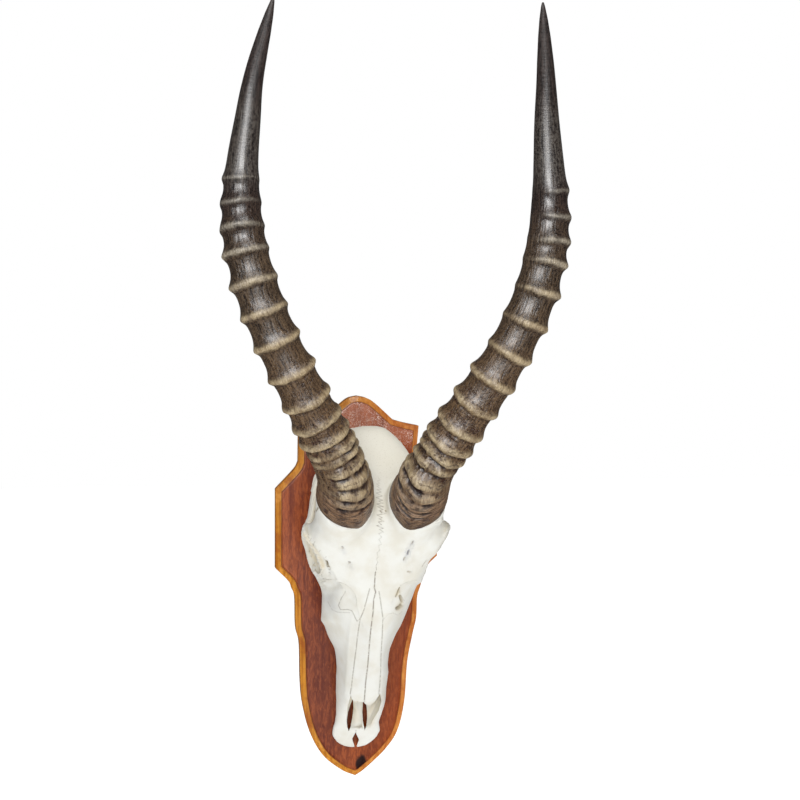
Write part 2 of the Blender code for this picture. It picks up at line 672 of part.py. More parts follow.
def horn_radius(distance, crests, facing, outward):
    # The radius at a distance from the tip, in millimetres, on the side that faces front and outward so much.
    radius = blend_table(HORN_TAPER, distance) / 1000.0
    for number, crest in enumerate(crests):
        grown = min(1.0, (number + RINGS_GROWING[0]) / RINGS_GROWING[1])
        grown *= min(1.0, (len(crests) - number) / RINGS_FADING)
        height = between(RING_LEAST, RING_HEIGHT, grown)
        outer = outward * max(0.0, 1.0 - number / RINGS_UNEVEN)
        even = RING_SIDES[0] + RING_SIDES[1] * facing + RING_SIDES[2] * outer
        apart = (distance - crest) / (RING_LENGTH * 1000.0)
        radius += height * even * math.exp(-apart * apart) if abs(apart) < 3.0 else 0.0
    return radius


def horn_levels(length, crests):
    # Distances from the base: three at every ring, one between the rings, and even steps to the tip.
    reach = RING_LENGTH * 850.0
    marks = [HORN_TIP_STEP * step for step in range(1, int((crests[0] - reach) / HORN_TIP_STEP))]
    for crest, following in zip(crests, crests[1:] + [crests[-1] + 12.0]):
        marks += [crest - reach * 0.8, crest] if crest - marks[-1] > reach * 1.5 else [crest]
        if following - crest > reach * 3.0:
            marks += [crest + reach, (crest + following) / 2.0]
        else:
            marks.append((crest + following) / 2.0)
    last = HORN_BASE_ROUND * 1000.0 + 3.0
    levels = [length - mark / 1000.0 for mark in marks if length * 1000.0 - mark > last]
    return [FIT_GAP, HORN_BASE_ROUND * 0.35, HORN_BASE_ROUND] + levels[::-1] + [length - 0.0035, length]


def straighten(line, run, base, along):
    # The horn's foot is straight, and passes smoothly into the curve above it.
    made = []
    for spot, level in zip(line, run):
        part = min(1.0, max(0.0, (level - FOOT_STRAIGHT) / (FOOT_REACH - FOOT_STRAIGHT)))
        made.append((base + along * level).lerp(spot, part * part * (3.0 - 2.0 * part)))
    return made


def line_at(line, run, level):
    # A place on the horn's middle line, that far up it, and the line's direction there.
    last = len(line) - 1
    spot = next((index for index in range(last) if run[index + 1] >= level), last - 1)
    part = (level - run[spot]) / (run[spot + 1] - run[spot])
    along = (line[min(spot + 2, last)] - line[max(spot - 1, 0)]).normalized()
    return line[spot].lerp(line[spot + 1], part), along


def make_horn(name, path, ring_steps, side, parts, horn_finish):
    # Rings of points square to the curve, from the base up.
    fine = 24
    count = (len(path) - 1) * fine
    line = [place(*spline_point(path, step / fine)) for step in range(count + 1)]
    run = [0.0]
    for here, ahead in zip(line, line[1:]):
        run.append(run[-1] + (ahead - here).length)
    length = run[-1]
    crests = ring_crests(ring_steps)
    base, base_along, base_forward, base_outward = horn_axes(path, side)
    line = straighten(line, run, base, base_along)
    rings = []
    for number, level in enumerate(horn_levels(length, crests)):
        at_foot = number < len(HORN_BASE_INSETS)
        inset = HORN_BASE_INSETS[number] if at_foot else 0.0
        slant = 1.0 if at_foot else max(0.0, 1.0 - level / FOOT_REACH)
        distance = (length - level) * 1000.0
        ring = []
        for corner in range(HORN_CORNERS):
            angle = math.tau * corner / HORN_CORNERS
            radius = horn_radius(distance, crests, math.cos(angle), math.sin(angle)) - inset
            raised = level + slant * foot_level(angle, radius)
            middle, along = line_at(line, run, raised)
            forward = (Vector((0.0, -1.0, 0.0)) - along * -along.y).normalized()
            outward = along.cross(forward) * side
            if at_foot:
                middle, forward, outward = base + base_along * raised, base_forward, base_outward
            ring.append(middle + (forward * math.cos(angle) + outward * math.sin(angle)) * radius)
        rings.append(ring)
    horn = tube_of_rings(name, rings, parts)
    horn.data.shade_smooth()
    horn.data.materials.append(horn_finish)
    return horn


def tube_of_rings(name, rings, parts):
    bm = bmesh.new()
    rows = [[bm.verts.new(point) for point in ring] for ring in rings]
    count = len(rows[0])
    for lower, upper in zip(rows, rows[1:]):
        for index in range(count):
            following = (index + 1) % count
            bm.faces.new((lower[index], lower[following], upper[following], upper[index]))
    bm.faces.new(rows[0][::-1])
    bm.faces.new(rows[-1])
    bmesh.ops.recalc_face_normals(bm, faces=bm.faces)
    return mesh_object(name, bm, parts)


def hide_cutters(cutters):
    for cutter in cutters.objects:
        cutter.hide_render = True
        cutter.display_type = "WIRE"


def main():
    clear_scene()
    parts = new_collection("blesbok_skull_mount")
    cutters = new_collection("cutters")
    wood = surface("stained_wood", (0.26, 0.07, 0.03), 0.30)
    bone = surface("bleached_bone", (0.84, 0.81, 0.74), 0.55)
    enamel = surface("tooth_enamel", (0.72, 0.64, 0.48), 0.35)
    horn_finish = surface("ringed_horn", (0.13, 0.10, 0.07), 0.38)
    make_board(parts, cutters, wood)
    make_skull(parts, cutters, bone)
    make_teeth(parts, enamel)
    make_horn("horn_right", RIGHT_HORN, RIGHT_RINGS, 1.0, parts, horn_finish)
    make_horn("horn_left", LEFT_HORN, LEFT_RINGS, -1.0, parts, horn_finish)
    hide_cutters(cutters)


main()
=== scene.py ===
import math

import bmesh
import bpy
import numpy as np
from mathutils import Matrix, Vector, geometry, noise
from mathutils.bvhtree import BVHTree


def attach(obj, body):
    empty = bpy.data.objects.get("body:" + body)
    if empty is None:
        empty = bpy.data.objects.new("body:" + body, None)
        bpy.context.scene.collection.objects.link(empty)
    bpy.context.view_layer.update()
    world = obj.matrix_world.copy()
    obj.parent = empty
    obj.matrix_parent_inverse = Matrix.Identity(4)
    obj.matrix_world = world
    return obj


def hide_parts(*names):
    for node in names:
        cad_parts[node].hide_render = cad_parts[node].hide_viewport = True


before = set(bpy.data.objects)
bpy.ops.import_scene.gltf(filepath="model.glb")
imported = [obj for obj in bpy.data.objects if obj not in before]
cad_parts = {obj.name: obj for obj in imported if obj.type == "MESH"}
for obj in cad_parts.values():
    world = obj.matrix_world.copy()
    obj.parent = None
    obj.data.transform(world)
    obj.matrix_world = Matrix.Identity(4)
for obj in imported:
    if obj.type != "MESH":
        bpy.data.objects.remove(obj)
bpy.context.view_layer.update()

millimetre = 0.001
boardThick = 12.0  # millimetres, as all sizes below unless a note says otherwise
print("frame loaded")


def place(across, out, up):  # out is the height above the board's front
    return Vector((across, -out - boardThick, up)) * millimetre


def deselectAll():
    bpy.ops.object.select_all(action="DESELECT")


def pick(piece):
    deselectAll()
    piece.select_set(True)
    bpy.context.view_layer.objects.active = piece


def applyModifiers(piece):
    pick(piece)
    for modifier in list(piece.modifiers):
        bpy.ops.object.modifier_apply(modifier=modifier.name)


def joinPieces(pieces, name):
    deselectAll()
    for piece in pieces:
        piece.select_set(True)
    bpy.context.view_layer.objects.active = pieces[0]
    bpy.ops.object.join()
    made = bpy.context.object
    made.name = name
    made.data.name = name
    return made


def openMesh(piece, action="SELECT"):  # into edit mode, with all of the piece selected or nothing
    pick(piece)
    bpy.ops.object.mode_set(mode="EDIT")
    bpy.ops.mesh.select_all(action=action)


def closeMesh():
    bpy.ops.object.mode_set(mode="OBJECT")


def turnOutward(piece):
    openMesh(piece)
    bpy.ops.mesh.normals_make_consistent(inside=False)
    closeMesh()


def settle(piece):  # the place goes into the mesh, so that the object sits at the origin
    pick(piece)
    bpy.ops.object.transform_apply(location=True, rotation=True, scale=True)


def cut(piece, cutter, operation="DIFFERENCE"):
    change = piece.modifiers.new(cutter.name, "BOOLEAN")
    change.operation = operation
    change.solver = "MANIFOLD"
    change.object = cutter
    applyModifiers(piece)
    bpy.data.objects.remove(cutter, do_unlink=True)


def readPoints(mesh):
    points = np.empty(len(mesh.vertices) * 3)
    mesh.vertices.foreach_get("co", points)
    return points.reshape(-1, 3)


def writePoints(mesh, points):
    mesh.vertices.foreach_set("co", points.astype(np.float32).ravel())
    mesh.update()


def paintOn(mesh, name, values):
    layer = mesh.attributes.new(name, "FLOAT", "POINT")
    layer.data.foreach_set("value", np.asarray(values, np.float32))


def splinePoint(points, position):  # 1.5 is half way between the second point and the third
    last = len(points) - 1
    first = min(int(position), last - 1)
    part = position - first
    ends = [Vector(points[max(0, min(last, first + step))]) for step in (-1, 0, 1, 2)]
    if first == 0:
        ends[0] = 2.0 * ends[1] - ends[2]
    if first == last - 1:
        ends[3] = 2.0 * ends[2] - ends[1]
    before, start, end, after = ends
    slopeIn = (end - before) * 0.5
    slopeOut = (after - start) * 0.5
    square = part * part
    cube = square * part
    return (start * (2.0 * cube - 3.0 * square + 1.0) + slopeIn * (cube - 2.0 * square + part)
            + end * (3.0 * square - 2.0 * cube) + slopeOut * (cube - square))


def between(start, end, share):
    return start + (end - start) * share


def smooth(low, high, values):
    share = np.clip((values - low) / (high - low), 0.0, 1.0)
    return share * share * (3.0 - 2.0 * share)


def unit(rows):
    return rows / np.linalg.norm(rows, axis=1)[:, None]


def runAlong(line):  # how far each of its points is from the first, along it
    return np.concatenate([[0.0], np.cumsum(np.linalg.norm(np.diff(line, axis=0), axis=1))])


def lookUp(values, table, column=1):  # the table's first column is what the values are looked up in
    table = np.array(table)
    return np.interp(values, table[:, 0], table[:, column])


def strokeDistance(spots, points, signed=False):  # signed: more than 0 on the right hand along the points
    nearest = np.full(len(spots), 1000.0)
    side = np.zeros(len(spots))
    for start, end in zip(points, points[1:]):
        start, run = np.array(start), np.array(end) - np.array(start)
        away = spots - start
        share = np.clip((away @ run) / max(run @ run, 1e-9), 0.0, 1.0)
        apart = np.linalg.norm(away - share[:, None] * run, axis=1)
        if signed:
            side = np.where(apart < nearest, np.sign(run[0] * away[:, 1] - run[1] * away[:, 0]), side)
        nearest = np.minimum(nearest, apart)
    return nearest * side if signed else nearest


def stroke(spots, points, width, power=2):  # 1 on the line, and fading out past its half width
    return np.exp(-(strokeDistance(spots, points) / width) ** power)


# Camera: the photo is taken from a little to the left and above; its place is in metres
camera = {"lens": 68.82, "sensor": 36.0, "azimuth": -10.5, "elevation": 4.0, "roll": 0.45,
          "place": (-0.19959, -1.28258, 0.25029), "pixels": 800}
zoom = camera["pixels"] * camera["lens"] / camera["sensor"]
halfPhoto = camera["pixels"] / 2.0


def cameraAxes():
    azimuth = math.radians(camera["azimuth"])
    elevation = math.radians(camera["elevation"])
    roll = math.radians(camera["roll"])
    back = Vector((math.sin(azimuth) * math.cos(elevation), -math.cos(azimuth) * math.cos(elevation),
                   math.sin(elevation)))
    level = Vector((0.0, 0.0, 1.0)).cross(back).normalized()
    upright = back.cross(level)
    right = level * math.cos(roll) + upright * math.sin(roll)
    up = upright * math.cos(roll) - level * math.sin(roll)
    return right, up, back


def photoPixels(points):  # where points show in the photo, and how far they are from the camera
    right, up, back = (np.array(axis) for axis in cameraAxes())
    seen = points - np.array(camera["place"])
    depth = -(seen @ back)
    return halfPhoto + zoom * (seen @ right) / depth, halfPhoto - zoom * (seen @ up) / depth, depth


def photoPoint(pixel, out):  # the point at that height above the board which shows at the photo's pixel
    right, up, back = cameraAxes()
    ray = right * (pixel[0] - halfPhoto) / zoom + up * (halfPhoto - pixel[1]) / zoom - back
    start = Vector(camera["place"])
    return start + ray * ((-(out + boardThick) * millimetre - start.y) / ray.y)


def makeCamera():
    lens = bpy.data.cameras.new("camera")
    lens.lens = camera["lens"]
    lens.sensor_width = camera["sensor"]
    view = bpy.data.objects.new("camera", lens)
    bpy.context.scene.collection.objects.link(view)
    right, up, back = cameraAxes()
    view.matrix_world = Matrix.Translation(camera["place"]) @ Matrix((right, up, back)).transposed().to_4x4()
    bpy.context.scene.camera = view


makeCamera()
print("camera set")


class Wire:  # a node's output that can stand in a sum
    def __init__(self, finish, socket):
        self.finish = finish
        self.socket = socket

    def sum(self, operation, first, second):
        return self.finish.node("Math", {"operation": operation}, {0: first, 1: second})

    def __add__(self, other):
        return self.sum("ADD", self, other)

    def __radd__(self, other):
        return self.sum("ADD", other, self)

    def __sub__(self, other):
        return self.sum("SUBTRACT", self, other)

    def __rsub__(self, other):
        return self.sum("SUBTRACT", other, self)

    def __mul__(self, other):
        return self.sum("MULTIPLY", self, other)

    def __rmul__(self, other):
        return self.sum("MULTIPLY", other, self)


class Finish:  # one material and its nodes
    def __init__(self, name):
        self.material = bpy.data.materials.new(name)
        self.material.use_nodes = True
        self.tree = self.material.node_tree
        self.shader = self.tree.nodes["Principled BSDF"]
        self.spot = self.node("TexCoord", {}, {}, "Object")

    def node(self, kind, settings, values, output=0):
        made = self.tree.nodes.new("ShaderNode" + kind)
        for key, value in settings.items():
            setattr(made, key, value)
        for key, value in values.items():
            if isinstance(value, Wire):
                self.tree.links.new(value.socket, made.inputs[key])
            else:
                made.inputs[key].default_value = value
        return Wire(self, made.outputs[output])

    def stretch(self, source, scale):
        return self.node("Mapping", {}, {"Vector": source, "Scale": scale})

    def grain(self, source, scale, detail=4.0, roughness=0.55, distortion=0.0):
        return self.node("TexNoise", {}, {"Vector": source, "Scale": scale, "Detail": detail,
                                          "Roughness": roughness, "Distortion": distortion})

    def attribute(self, name, output="Fac"):
        return self.node("Attribute", {"attribute_name": name}, {}, output)

    def step(self, value, low, high):
        return self.node("MapRange", {"interpolation_type": "SMOOTHSTEP"},
                         {"Value": value, "From Min": low, "From Max": high})

    def blend(self, share, first, second):
        return self.node("Mix", {"data_type": "RGBA"}, {0: share, 6: first, 7: second}, 2)

    def coats(self, colour, *layers):  # each layer is its share, and its red, green and blue
        for share, *tone in layers:
            colour = self.blend(share, colour, paint(*tone))
        return colour

    def bump(self, height, strength, distance):
        return self.node("Bump", {}, {"Height": height, "Strength": strength, "Distance": distance})

    def wear(self, piece):
        piece.data.materials.clear()
        piece.data.materials.append(self.material)

    def set(self, name, value):
        if isinstance(value, Wire):
            self.tree.links.new(value.socket, self.shader.inputs[name])
        else:
            self.shader.inputs[name].default_value = value


def paint(red, green, blue):  # a colour as a paint chart gives it, 0 to 255, made linear
    return tuple((level / 255.0) ** 2.2 for level in (red, green, blue)) + (1.0,)


# The wooden shield, in metres; down each side: how far from the middle, how far up, and whether a corner
shield = {
    "right": ((0, 0.1633, False), (0.0081, 0.1614, False), (0.0156, 0.1566, False), (0.0305, 0.143, True),
        (0.04, 0.1403, False), (0.053, 0.1376, True), (0.0505, 0.1075, True), (0.0535, 0.101, False),
        (0.069, 0.085, True), (0.07, 0.0255, True), (0.0612, 0.016, False), (0.0555, -0.001, False),
        (0.053, -0.01, False), (0.0523, -0.0275, False), (0.0492, -0.042, False), (0.0448, -0.066, False),
        (0.0425, -0.1, False), (0.0366, -0.1258, False), (0.0255, -0.1424, False), (0.0085, -0.158, False),
        (0, -0.1637, False)),
    "left": ((0, 0.1633, False), (0.0075, 0.1616, False), (0.014, 0.157, False), (0.03, 0.1435, True),
        (0.04, 0.141, False), (0.0498, 0.139, True), (0.05, 0.108, True), (0.0536, 0.1014, False),
        (0.0691, 0.0849, True), (0.069, 0.0178, True), (0.058, 0.0065, False), (0.0549, -0.0004, False),
        (0.0524, -0.0085, False), (0.0517, -0.033, False), (0.0485, -0.048, False), (0.0476, -0.08, False),
        (0.0453, -0.1012, False), (0.0388, -0.1257, False), (0.0279, -0.1449, False),
        (0.012, -0.1582, False), (0, -0.1637, False)),
    "spacing": 0.0016, "routed": 0.0048,  # routed: how wide the routed edge is
    # from the edge inward in metres, and the drop below the front in millimetres
    "profile": ((0, 4), (0.0004, 3.55), (0.0012, 3.05), (0.0022, 2.45), (0.0032, 1.9), (0.004, 1.35),
        (0.0044, 1.15), (0.0048, 1.12), (0.005, 0.35), (0.0054, 0.06), (0.0064, 0)),
    "backRound": 0.0006, "fieldStep": 0.0042, "keyholeUp": 0.116, "keyholeEntry": 0.0095,
    "keyholeSlot": 0.005, "keyholeRise": 0.016, "keyholeDepth": 0.008, "keyholeLip": 0.003,
    "keyholeUndercut": 0.0091, "fieldReach": (0.075, 0.168), "fieldGap": 0.4, "smoothAngle": 34,
    "ringKept": 0.985,  # a ring's point is left out where it is nearer to the outline than this share
    "backSize": (0.992, 1, 0.9965),  # how far the back's rim is drawn in
    # half width of the painted shade line at the step inside the routed edge, in metres
    "grooveWide": 0.00042,
}


def shieldOutline():
    points = []
    for word, side in (("right", 1.0), ("left", -1.0)):
        edge = shield[word]
        corners = [0] + [index for index, point in enumerate(edge) if point[2]] + [len(edge) - 1]
        half = []
        for start, end in zip(corners, corners[1:]):
            run = [(across * side, up, 0.0) for across, up, corner in edge[start:end + 1]]
            length = sum((Vector(ahead) - Vector(here)).length for here, ahead in zip(run, run[1:]))
            steps = round(length / shield["spacing"])
            half += [splinePoint(run, step * (len(run) - 1) / steps) for step in range(steps)]
        half.append(Vector((edge[-1][0] * side, edge[-1][1], 0.0)))
        points += half if side > 0.0 else half[1:-1][::-1]
    return np.array([(point.x, point.y) for point in points])


def edgeDistance(points, outline):
    return strokeDistance(points, np.concatenate([outline, outline[:1]]))


def makeShield():
    outline = shieldOutline()
    count = len(outline)
    ahead = np.roll(outline, -1, axis=0) - np.roll(outline, 1, axis=0)
    inward = unit(np.stack([ahead[:, 1], -ahead[:, 0]], axis=1))
    rings = [outline]
    for away, drop in shield["profile"][1:]:
        ring = outline + inward * away
        rings.append(ring[edgeDistance(ring, outline) > away * shield["ringKept"]])
    step, (wide, high) = shield["fieldStep"], shield["fieldReach"]
    across, up = np.meshgrid(np.arange(-wide, wide, step), np.arange(-high, high, step))
    field = np.stack([across.ravel(), up.ravel()], axis=1)
    deep = shield["profile"][-1][0] + step * shield["fieldGap"]
    side = [(index, (index + 1) % count) for index in range(count)]
    crossed = np.zeros(len(field), bool)
    for (x0, y0), (x1, y1) in zip(outline, np.roll(outline, -1, axis=0)):
        spans = (y0 > field[:, 1]) != (y1 > field[:, 1])
        reach = x0 + (field[:, 1] - y0) * (x1 - x0) / (y1 - y0 if y1 != y0 else 1.0)
        crossed ^= spans & (field[:, 0] < reach)
    field = field[crossed & (edgeDistance(field, outline) > deep)]
    flat = np.concatenate(rings + [field])
    found = geometry.delaunay_2d_cdt([Vector(point) for point in flat], side, [], 1, 1e-7)
    spots, faces = np.array(found[0]), found[2]
    away = edgeDistance(spots, outline)
    drop = lookUp(away, shield["profile"])
    points = np.stack([spots[:, 0], (drop - boardThick) * millimetre, spots[:, 1]], axis=1)
    mesh = bpy.data.meshes.new("shield")
    mesh.from_pydata(points.tolist(), [], faces)
    board = bpy.data.objects.new("shield", mesh)
    bpy.context.scene.collection.objects.link(board)
    openMesh(board, "DESELECT")
    bpy.ops.mesh.select_non_manifold(extend=False)  # the rim, which is drawn down to the back face
    edgeDrop = shield["profile"][0][1]
    back = boardThick * millimetre - edgeDrop * millimetre - shield["backRound"]
    for reach in (back, shield["backRound"]):
        bpy.ops.mesh.extrude_region_move(TRANSFORM_OT_translate={"value": (0.0, reach, 0.0)})
    bpy.ops.transform.resize(value=shield["backSize"])
    bpy.ops.mesh.edge_face_add()
    closeMesh()
    turnOutward(board)
    for cutter in keyholeCutters():
        cut(board, cutter)
    points = readPoints(board.data)
    away = edgeDistance(points[:, [0, 2]], outline)
    front = points[:, 1] < (edgeDrop + 0.2 - boardThick) * millimetre
    routed = shield["routed"]
    paintOn(board.data, "routed", front * (1.0 - smooth(routed - 0.0001, routed + 0.0002, away)))
    # painted shade: a dark line along the foot of the step at the routed edge's inner side
    paintOn(board.data, "groove", front * np.exp(-((away - routed) / shield["grooveWide"]) ** 2))
    pick(board)
    bpy.ops.object.shade_smooth_by_angle(angle=math.radians(shield["smoothAngle"]))
    return board


def keyholeCutters():
    deep = shield["keyholeDepth"] + boardThick * millimetre
    middle = Vector((0.0, (boardThick * millimetre - shield["keyholeDepth"]) / 2.0, shield["keyholeUp"]))
    rise = shield["keyholeRise"]
    bpy.ops.mesh.primitive_cylinder_add(vertices=48, radius=shield["keyholeEntry"] / 2.0, depth=deep,
                                        location=middle, rotation=(math.radians(90.0), 0.0, 0.0))
    entry = bpy.context.object
    settle(entry)
    slot = blockAt(middle + Vector((0.0, 0.0, rise / 2.0)), (shield["keyholeSlot"], deep, rise))
    under = shield["keyholeDepth"] - shield["keyholeLip"]
    underMiddle = Vector((0.0, -shield["keyholeLip"] - under / 2.0, shield["keyholeUp"] + rise / 2.0))
    return [entry, slot, blockAt(underMiddle, (shield["keyholeUndercut"], under, rise))]


def blockAt(middle, size):
    bpy.ops.mesh.primitive_cube_add(size=1.0, location=middle, scale=size)
    settle(bpy.context.object)
    return bpy.context.object


def woodFinish():
    wood = Finish("stained wood")
    blend, step, grain, stretch = wood.blend, wood.step, wood.grain, wood.stretch
    long = stretch(wood.spot, (1.0, 1.0, 0.045))
    broad = grain(long, 42.0, 3.0, 0.5, 0.4)
    fine = grain(long, 330.0, 5.0, 0.65)
    pores = step(grain(stretch(wood.spot, (1.0, 1.0, 0.02)), 1500.0, 2.0), 0.60, 0.74)
    patches = grain(wood.spot, 14.0, 3.0)
    x, y, z = (wood.node("SeparateXYZ", {}, {0: wood.spot}, axis) for axis in ("X", "Y", "Z"))
    tone = step(broad * 0.7 + fine * 0.3, 0.34, 0.68)
    stripes = step(grain(stretch(wood.spot, (1.0, 1.0, 0.012)), 170.0, 2.0, 0.5, 0.3), 0.52, 0.66)
    mottle = grain(stretch(wood.spot, (1.0, 1.0, 0.22)), 640.0, 5.0, 0.65, 0.8)
    crinkled = step(z + (patches - 0.5) * 0.02, 0.112, 0.130)  # the varnish near the top
    # painted light: the far left of the face, below the middle, is made lighter to lift the shade there
    left = (1 - step(x, -0.068, -0.048)) * (1 - step(z, -0.01, 0.05))
    heart = step(grain(long, 75.0, 2.0, 0.5, 0.8), 0.60, 0.72)
    knot = wood.node("VectorMath", {"operation": "DISTANCE"},
                     {0: stretch(wood.spot, (1.0, 0.0, 0.62)), 1: (0.0045, 0.0, -0.1531 * 0.62)}, 1)
    wobble = grain(wood.spot, 130.0, 2.0) * 0.004
    face = wood.coats(blend(tone, paint(92, 34, 14), paint(150, 74, 34)),
                      (step(patches, 0.45, 0.75) * 0.5, 134, 66, 40), (stripes * 0.45, 84, 30, 16),
                      (step(mottle, 0.46, 0.62) * 0.36, 80, 30, 18),
                      (step(1 - mottle, 0.46, 0.62) * 0.3, 176, 94, 50),
                      (crinkled * 0.5, 180, 112, 86), (step(x, 0.01, 0.045) * 0.45, 144, 66, 26),
                      (left * 0.5, 176, 100, 54), (pores * 0.55, 66, 22, 12),
                      (heart * 0.55, 92, 36, 24), (1 - step(knot + wobble, 0.0052, 0.0078), 38, 14, 12))
    gold = blend(step(fine, 0.35, 0.65), paint(156, 94, 20), paint(192, 128, 44))
    orange = blend(step(fine, 0.35, 0.65), paint(164, 90, 34), paint(190, 120, 58))
    worn = grain(wood.spot, 70.0, 4.0, 0.6)
    edge = wood.coats(blend(step(x, -0.02, 0.03), gold, orange),
                      (step(worn, 0.50, 0.66) * 0.6, 138, 66, 24),
                      (step(1 - worn, 0.56, 0.70) * 0.5, 214, 150, 74))
    routed = wood.attribute("routed")
    side = step(y, -0.0084, -0.0078)
    # painted highlight: near-white glints, in bunches, on the crinkled varnish near the top of the face
    bunches = 0.35 + 0.65 * step(grain(wood.spot, 110.0, 2.0), 0.44, 0.58)
    paintedGlints = step(grain(wood.spot, 950.0, 3.0, 0.7, 1.6), 0.53, 0.61) * crinkled * bunches
    paintedGlints = paintedGlints * (1 - routed) * (1 - step(y, -0.0119, -0.0115))  # on the front face only
    # painted shade along the routed edge's step, and painted highlight glints on the varnish
    colour = wood.coats(blend(side * 0.8, blend(routed, face, edge), edge), (side * 0.35, 120, 66, 30),
                        (wood.attribute("groove") * 0.75, 84, 36, 16), (paintedGlints * 0.85, 244, 226, 212))
    back = blend(tone, paint(104, 58, 32), paint(146, 92, 54))
    wood.set("Base Color", blend(step(y, -0.0008, -0.0002), colour, back))
    wood.set("Roughness", 0.30 + 0.2 * step(patches, 0.4, 0.7))
    wood.set("Specular IOR Level", 0.25)
    wood.set("Coat Weight", 0.05 + 0.4 * crinkled)
    wood.set("Coat Roughness", 0.12)
    relief = fine * 0.35 + pores * -0.6 + grain(wood.spot, 420.0, 3.0) * (0.5 + 1.5 * crinkled)
    wood.set("Normal", wood.bump(relief, 0.35, 0.0006))
    return wood


board = makeShield()
woodFinish().wear(board)
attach(board, "root")
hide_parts("plaque")
print("shield made")


# The horns: points down the middle of each, base to tip, and the steps between its rings from the tip
horn = {
    "right": ((28.5, 97.5, 79.5), (30.4, 111, 93), (36.4, 125.5, 116.4), (58.7, 149.5, 157.8),
        (76.1, 163.5, 188.2), (91.7, 172.5, 219.3), (104, 177.5, 251.9), (111, 180, 286.1),
        (112.5, 181.5, 322), (107.4, 189.7, 371.8), (102.8, 201, 407), (93.7, 223, 453.2)),
    "left": ((-26.5, 97.5, 79.5), (-28, 111, 93.5), (-35.9, 127, 122), (-60.1, 153, 166.8),
        (-77.6, 166, 198.7), (-93, 174, 230.3), (-104.5, 178.5, 262.5), (-111.5, 180.4, 295.6),
        (-112.4, 182.5, 335), (-109.1, 189.2, 369.9), (-105, 199, 402), (-94.4, 222, 449.2)),
    "rightRings": (135.4, 19.2, 17, 15.8, 21.9, 24.1, 25.1, 23.5, 23.5, 21, 15.6, 10.2, 10.8, 11.4, 8.4,
        7.5, 7),
    "leftRings": (126.5, 16.5, 17, 17.5, 21.5, 22.6, 23.6, 25.8, 25, 20.2, 15, 11, 9, 10.2, 8.1, 8.2, 7.5),
    "taper": ((0, 0.7), (3, 1.5), (12, 3), (25, 4.5), (43, 6), (61, 7.2), (78, 8.5), (95, 9.7), (125, 11.7),
        (160, 13.9), (205, 15.1), (255, 15.4), (300, 16.4), (345, 17.4), (370, 18.8), (392, 21.4),
        (408, 22.6), (430, 22.8)),
    "sides": 144, "cuts": 20,  # cut twice, so the tube has 441 steps from end to end
    "ringHeight": 3.9, "ringLeast": 0.8, "ringRound": 0.9, "ringTipSide": 4.6,
    "ringBaseSide": 3,  # how far each ring's slope reaches on that side of it
    "crestWide": (1.7, 4.4),  # half width of the pale line on a ring, near the tip and near the foot
    "wander": 1.3,  # how far a ring strays from square to the horn
    "rightInside": 0.9, "leftInside": 0.35,  # how much the first rings fade on the inner side
    "rightTilt": 0.8, "leftTilt": 2.5,  # how much lower a ring is at the sides than in front
    "innerLoss": (3.2, 374, 26),  # the right horn is thinner on its inner side: by, at, over
    "outside": (126.4, 128.1),  # rings past the first are drawn in, and none gets past the second
    "scoring": 0.22,  # depth of the fine lengthwise grooves between the rings
    "gap": 0.3,
    # the lower edge, up the horn's line: at its lowest, how much more at the back, how
    # far its lowest place is turned outward, and how sharp it is there
    "rightFoot": (0.6, 21.5, -15, 0.72), "leftFoot": (1.7, 20, -26, 0.62), "footReach": 58,
    "straightUp": 24, "cuspReach": 24,
    "ropy": 10,  # from this ring on to the foot they fade out on the outer side
    "ringSpan": 16, "smoothAngle": 60,
    "growIn": (1.2, 3.5), "growOut": 6.5,  # how the rings gain height from the tip and lose it at the foot
    "upperRings": 7,  # over this many the inner side's fading ends
    "grooveBelow": 4.2, "grooveHalf": 1.2,  # where the sunk line past a ring lies, and its half width; it is also painted dark, as shade
    "grooveDepth": (0.3, 2), "grooveDeepens": (230, 330),  # from the first depth to the second
    "lumps": 0.35, "roughFrom": (100, 150),
    "tipUnit": 400,  # the finish counts the way from the tip in steps of this
    # up the horn from its lower end, and how far its surface is drawn in there
    "footRound": ((0, 1.3), (0.8, 0.4), (2.2, 0)),
}


def hornAxis(path):
    base = place(*path[0])
    return base, (place(*splinePoint(path, 0.35)) - base).normalized()


def hornAxes(word):
    base, along = hornAxis(horn[word])
    front = (Vector((0.0, -1.0, 0.0)) - along * -along.y).normalized()
    outward = along.cross(front) * (1.0 if word == "right" else -1.0)
    return base, along, front, outward


def footLevel(word, turn, even=False):  # how far up the horn's line its lower edge is, at an angle round it
    low, rise, lowest, sharp = horn[word + "Foot"]
    return low + rise * np.abs(np.sin((turn - math.radians(lowest)) / 2.0)) ** (1.5 if even else sharp)


def straightHorn(name, length):  # an upright tube with its loops cut, ready to be shaped
    bpy.ops.mesh.primitive_cylinder_add(vertices=horn["sides"], radius=1.0, depth=length,
                                        location=(0.0, 0.0, length / 2.0))
    tube = bpy.context.object
    tube.name = name
    settle(tube)
    for turn in range(2):
        openMesh(tube, "DESELECT")
        shape = bmesh.from_edit_mesh(tube.data)
        for edge in shape.edges:
            lower, upper = edge.verts
            edge.select_set(abs(lower.co.z - upper.co.z) > 0.0001)
        bmesh.update_edit_mesh(tube.data)
        bpy.ops.mesh.subdivide(number_cuts=horn["cuts"])
        closeMesh()
    return tube


def hornLine(path):
    fine = 40
    count = (len(path) - 1) * fine
    line = np.array([place(*splinePoint(path, step / fine)) for step in range(count + 1)])
    run = runAlong(line)
    along = unit(np.gradient(line, run, axis=0))
    base, baseAlong = (np.array(part) for part in hornAxis(path))
    near = 1.0 - smooth(horn["straightUp"] * millimetre, horn["footReach"] * millimetre, run)[:, None]
    line = line * (1.0 - near) + (base + baseAlong * run[:, None]) * near
    return line, run, unit(along * (1.0 - near) + baseAlong * near)


def hornNoise(points, scale, seed):
    return np.array([noise.noise(Vector(point * scale) + Vector((seed, 0.0, 0.0))) for point in points])


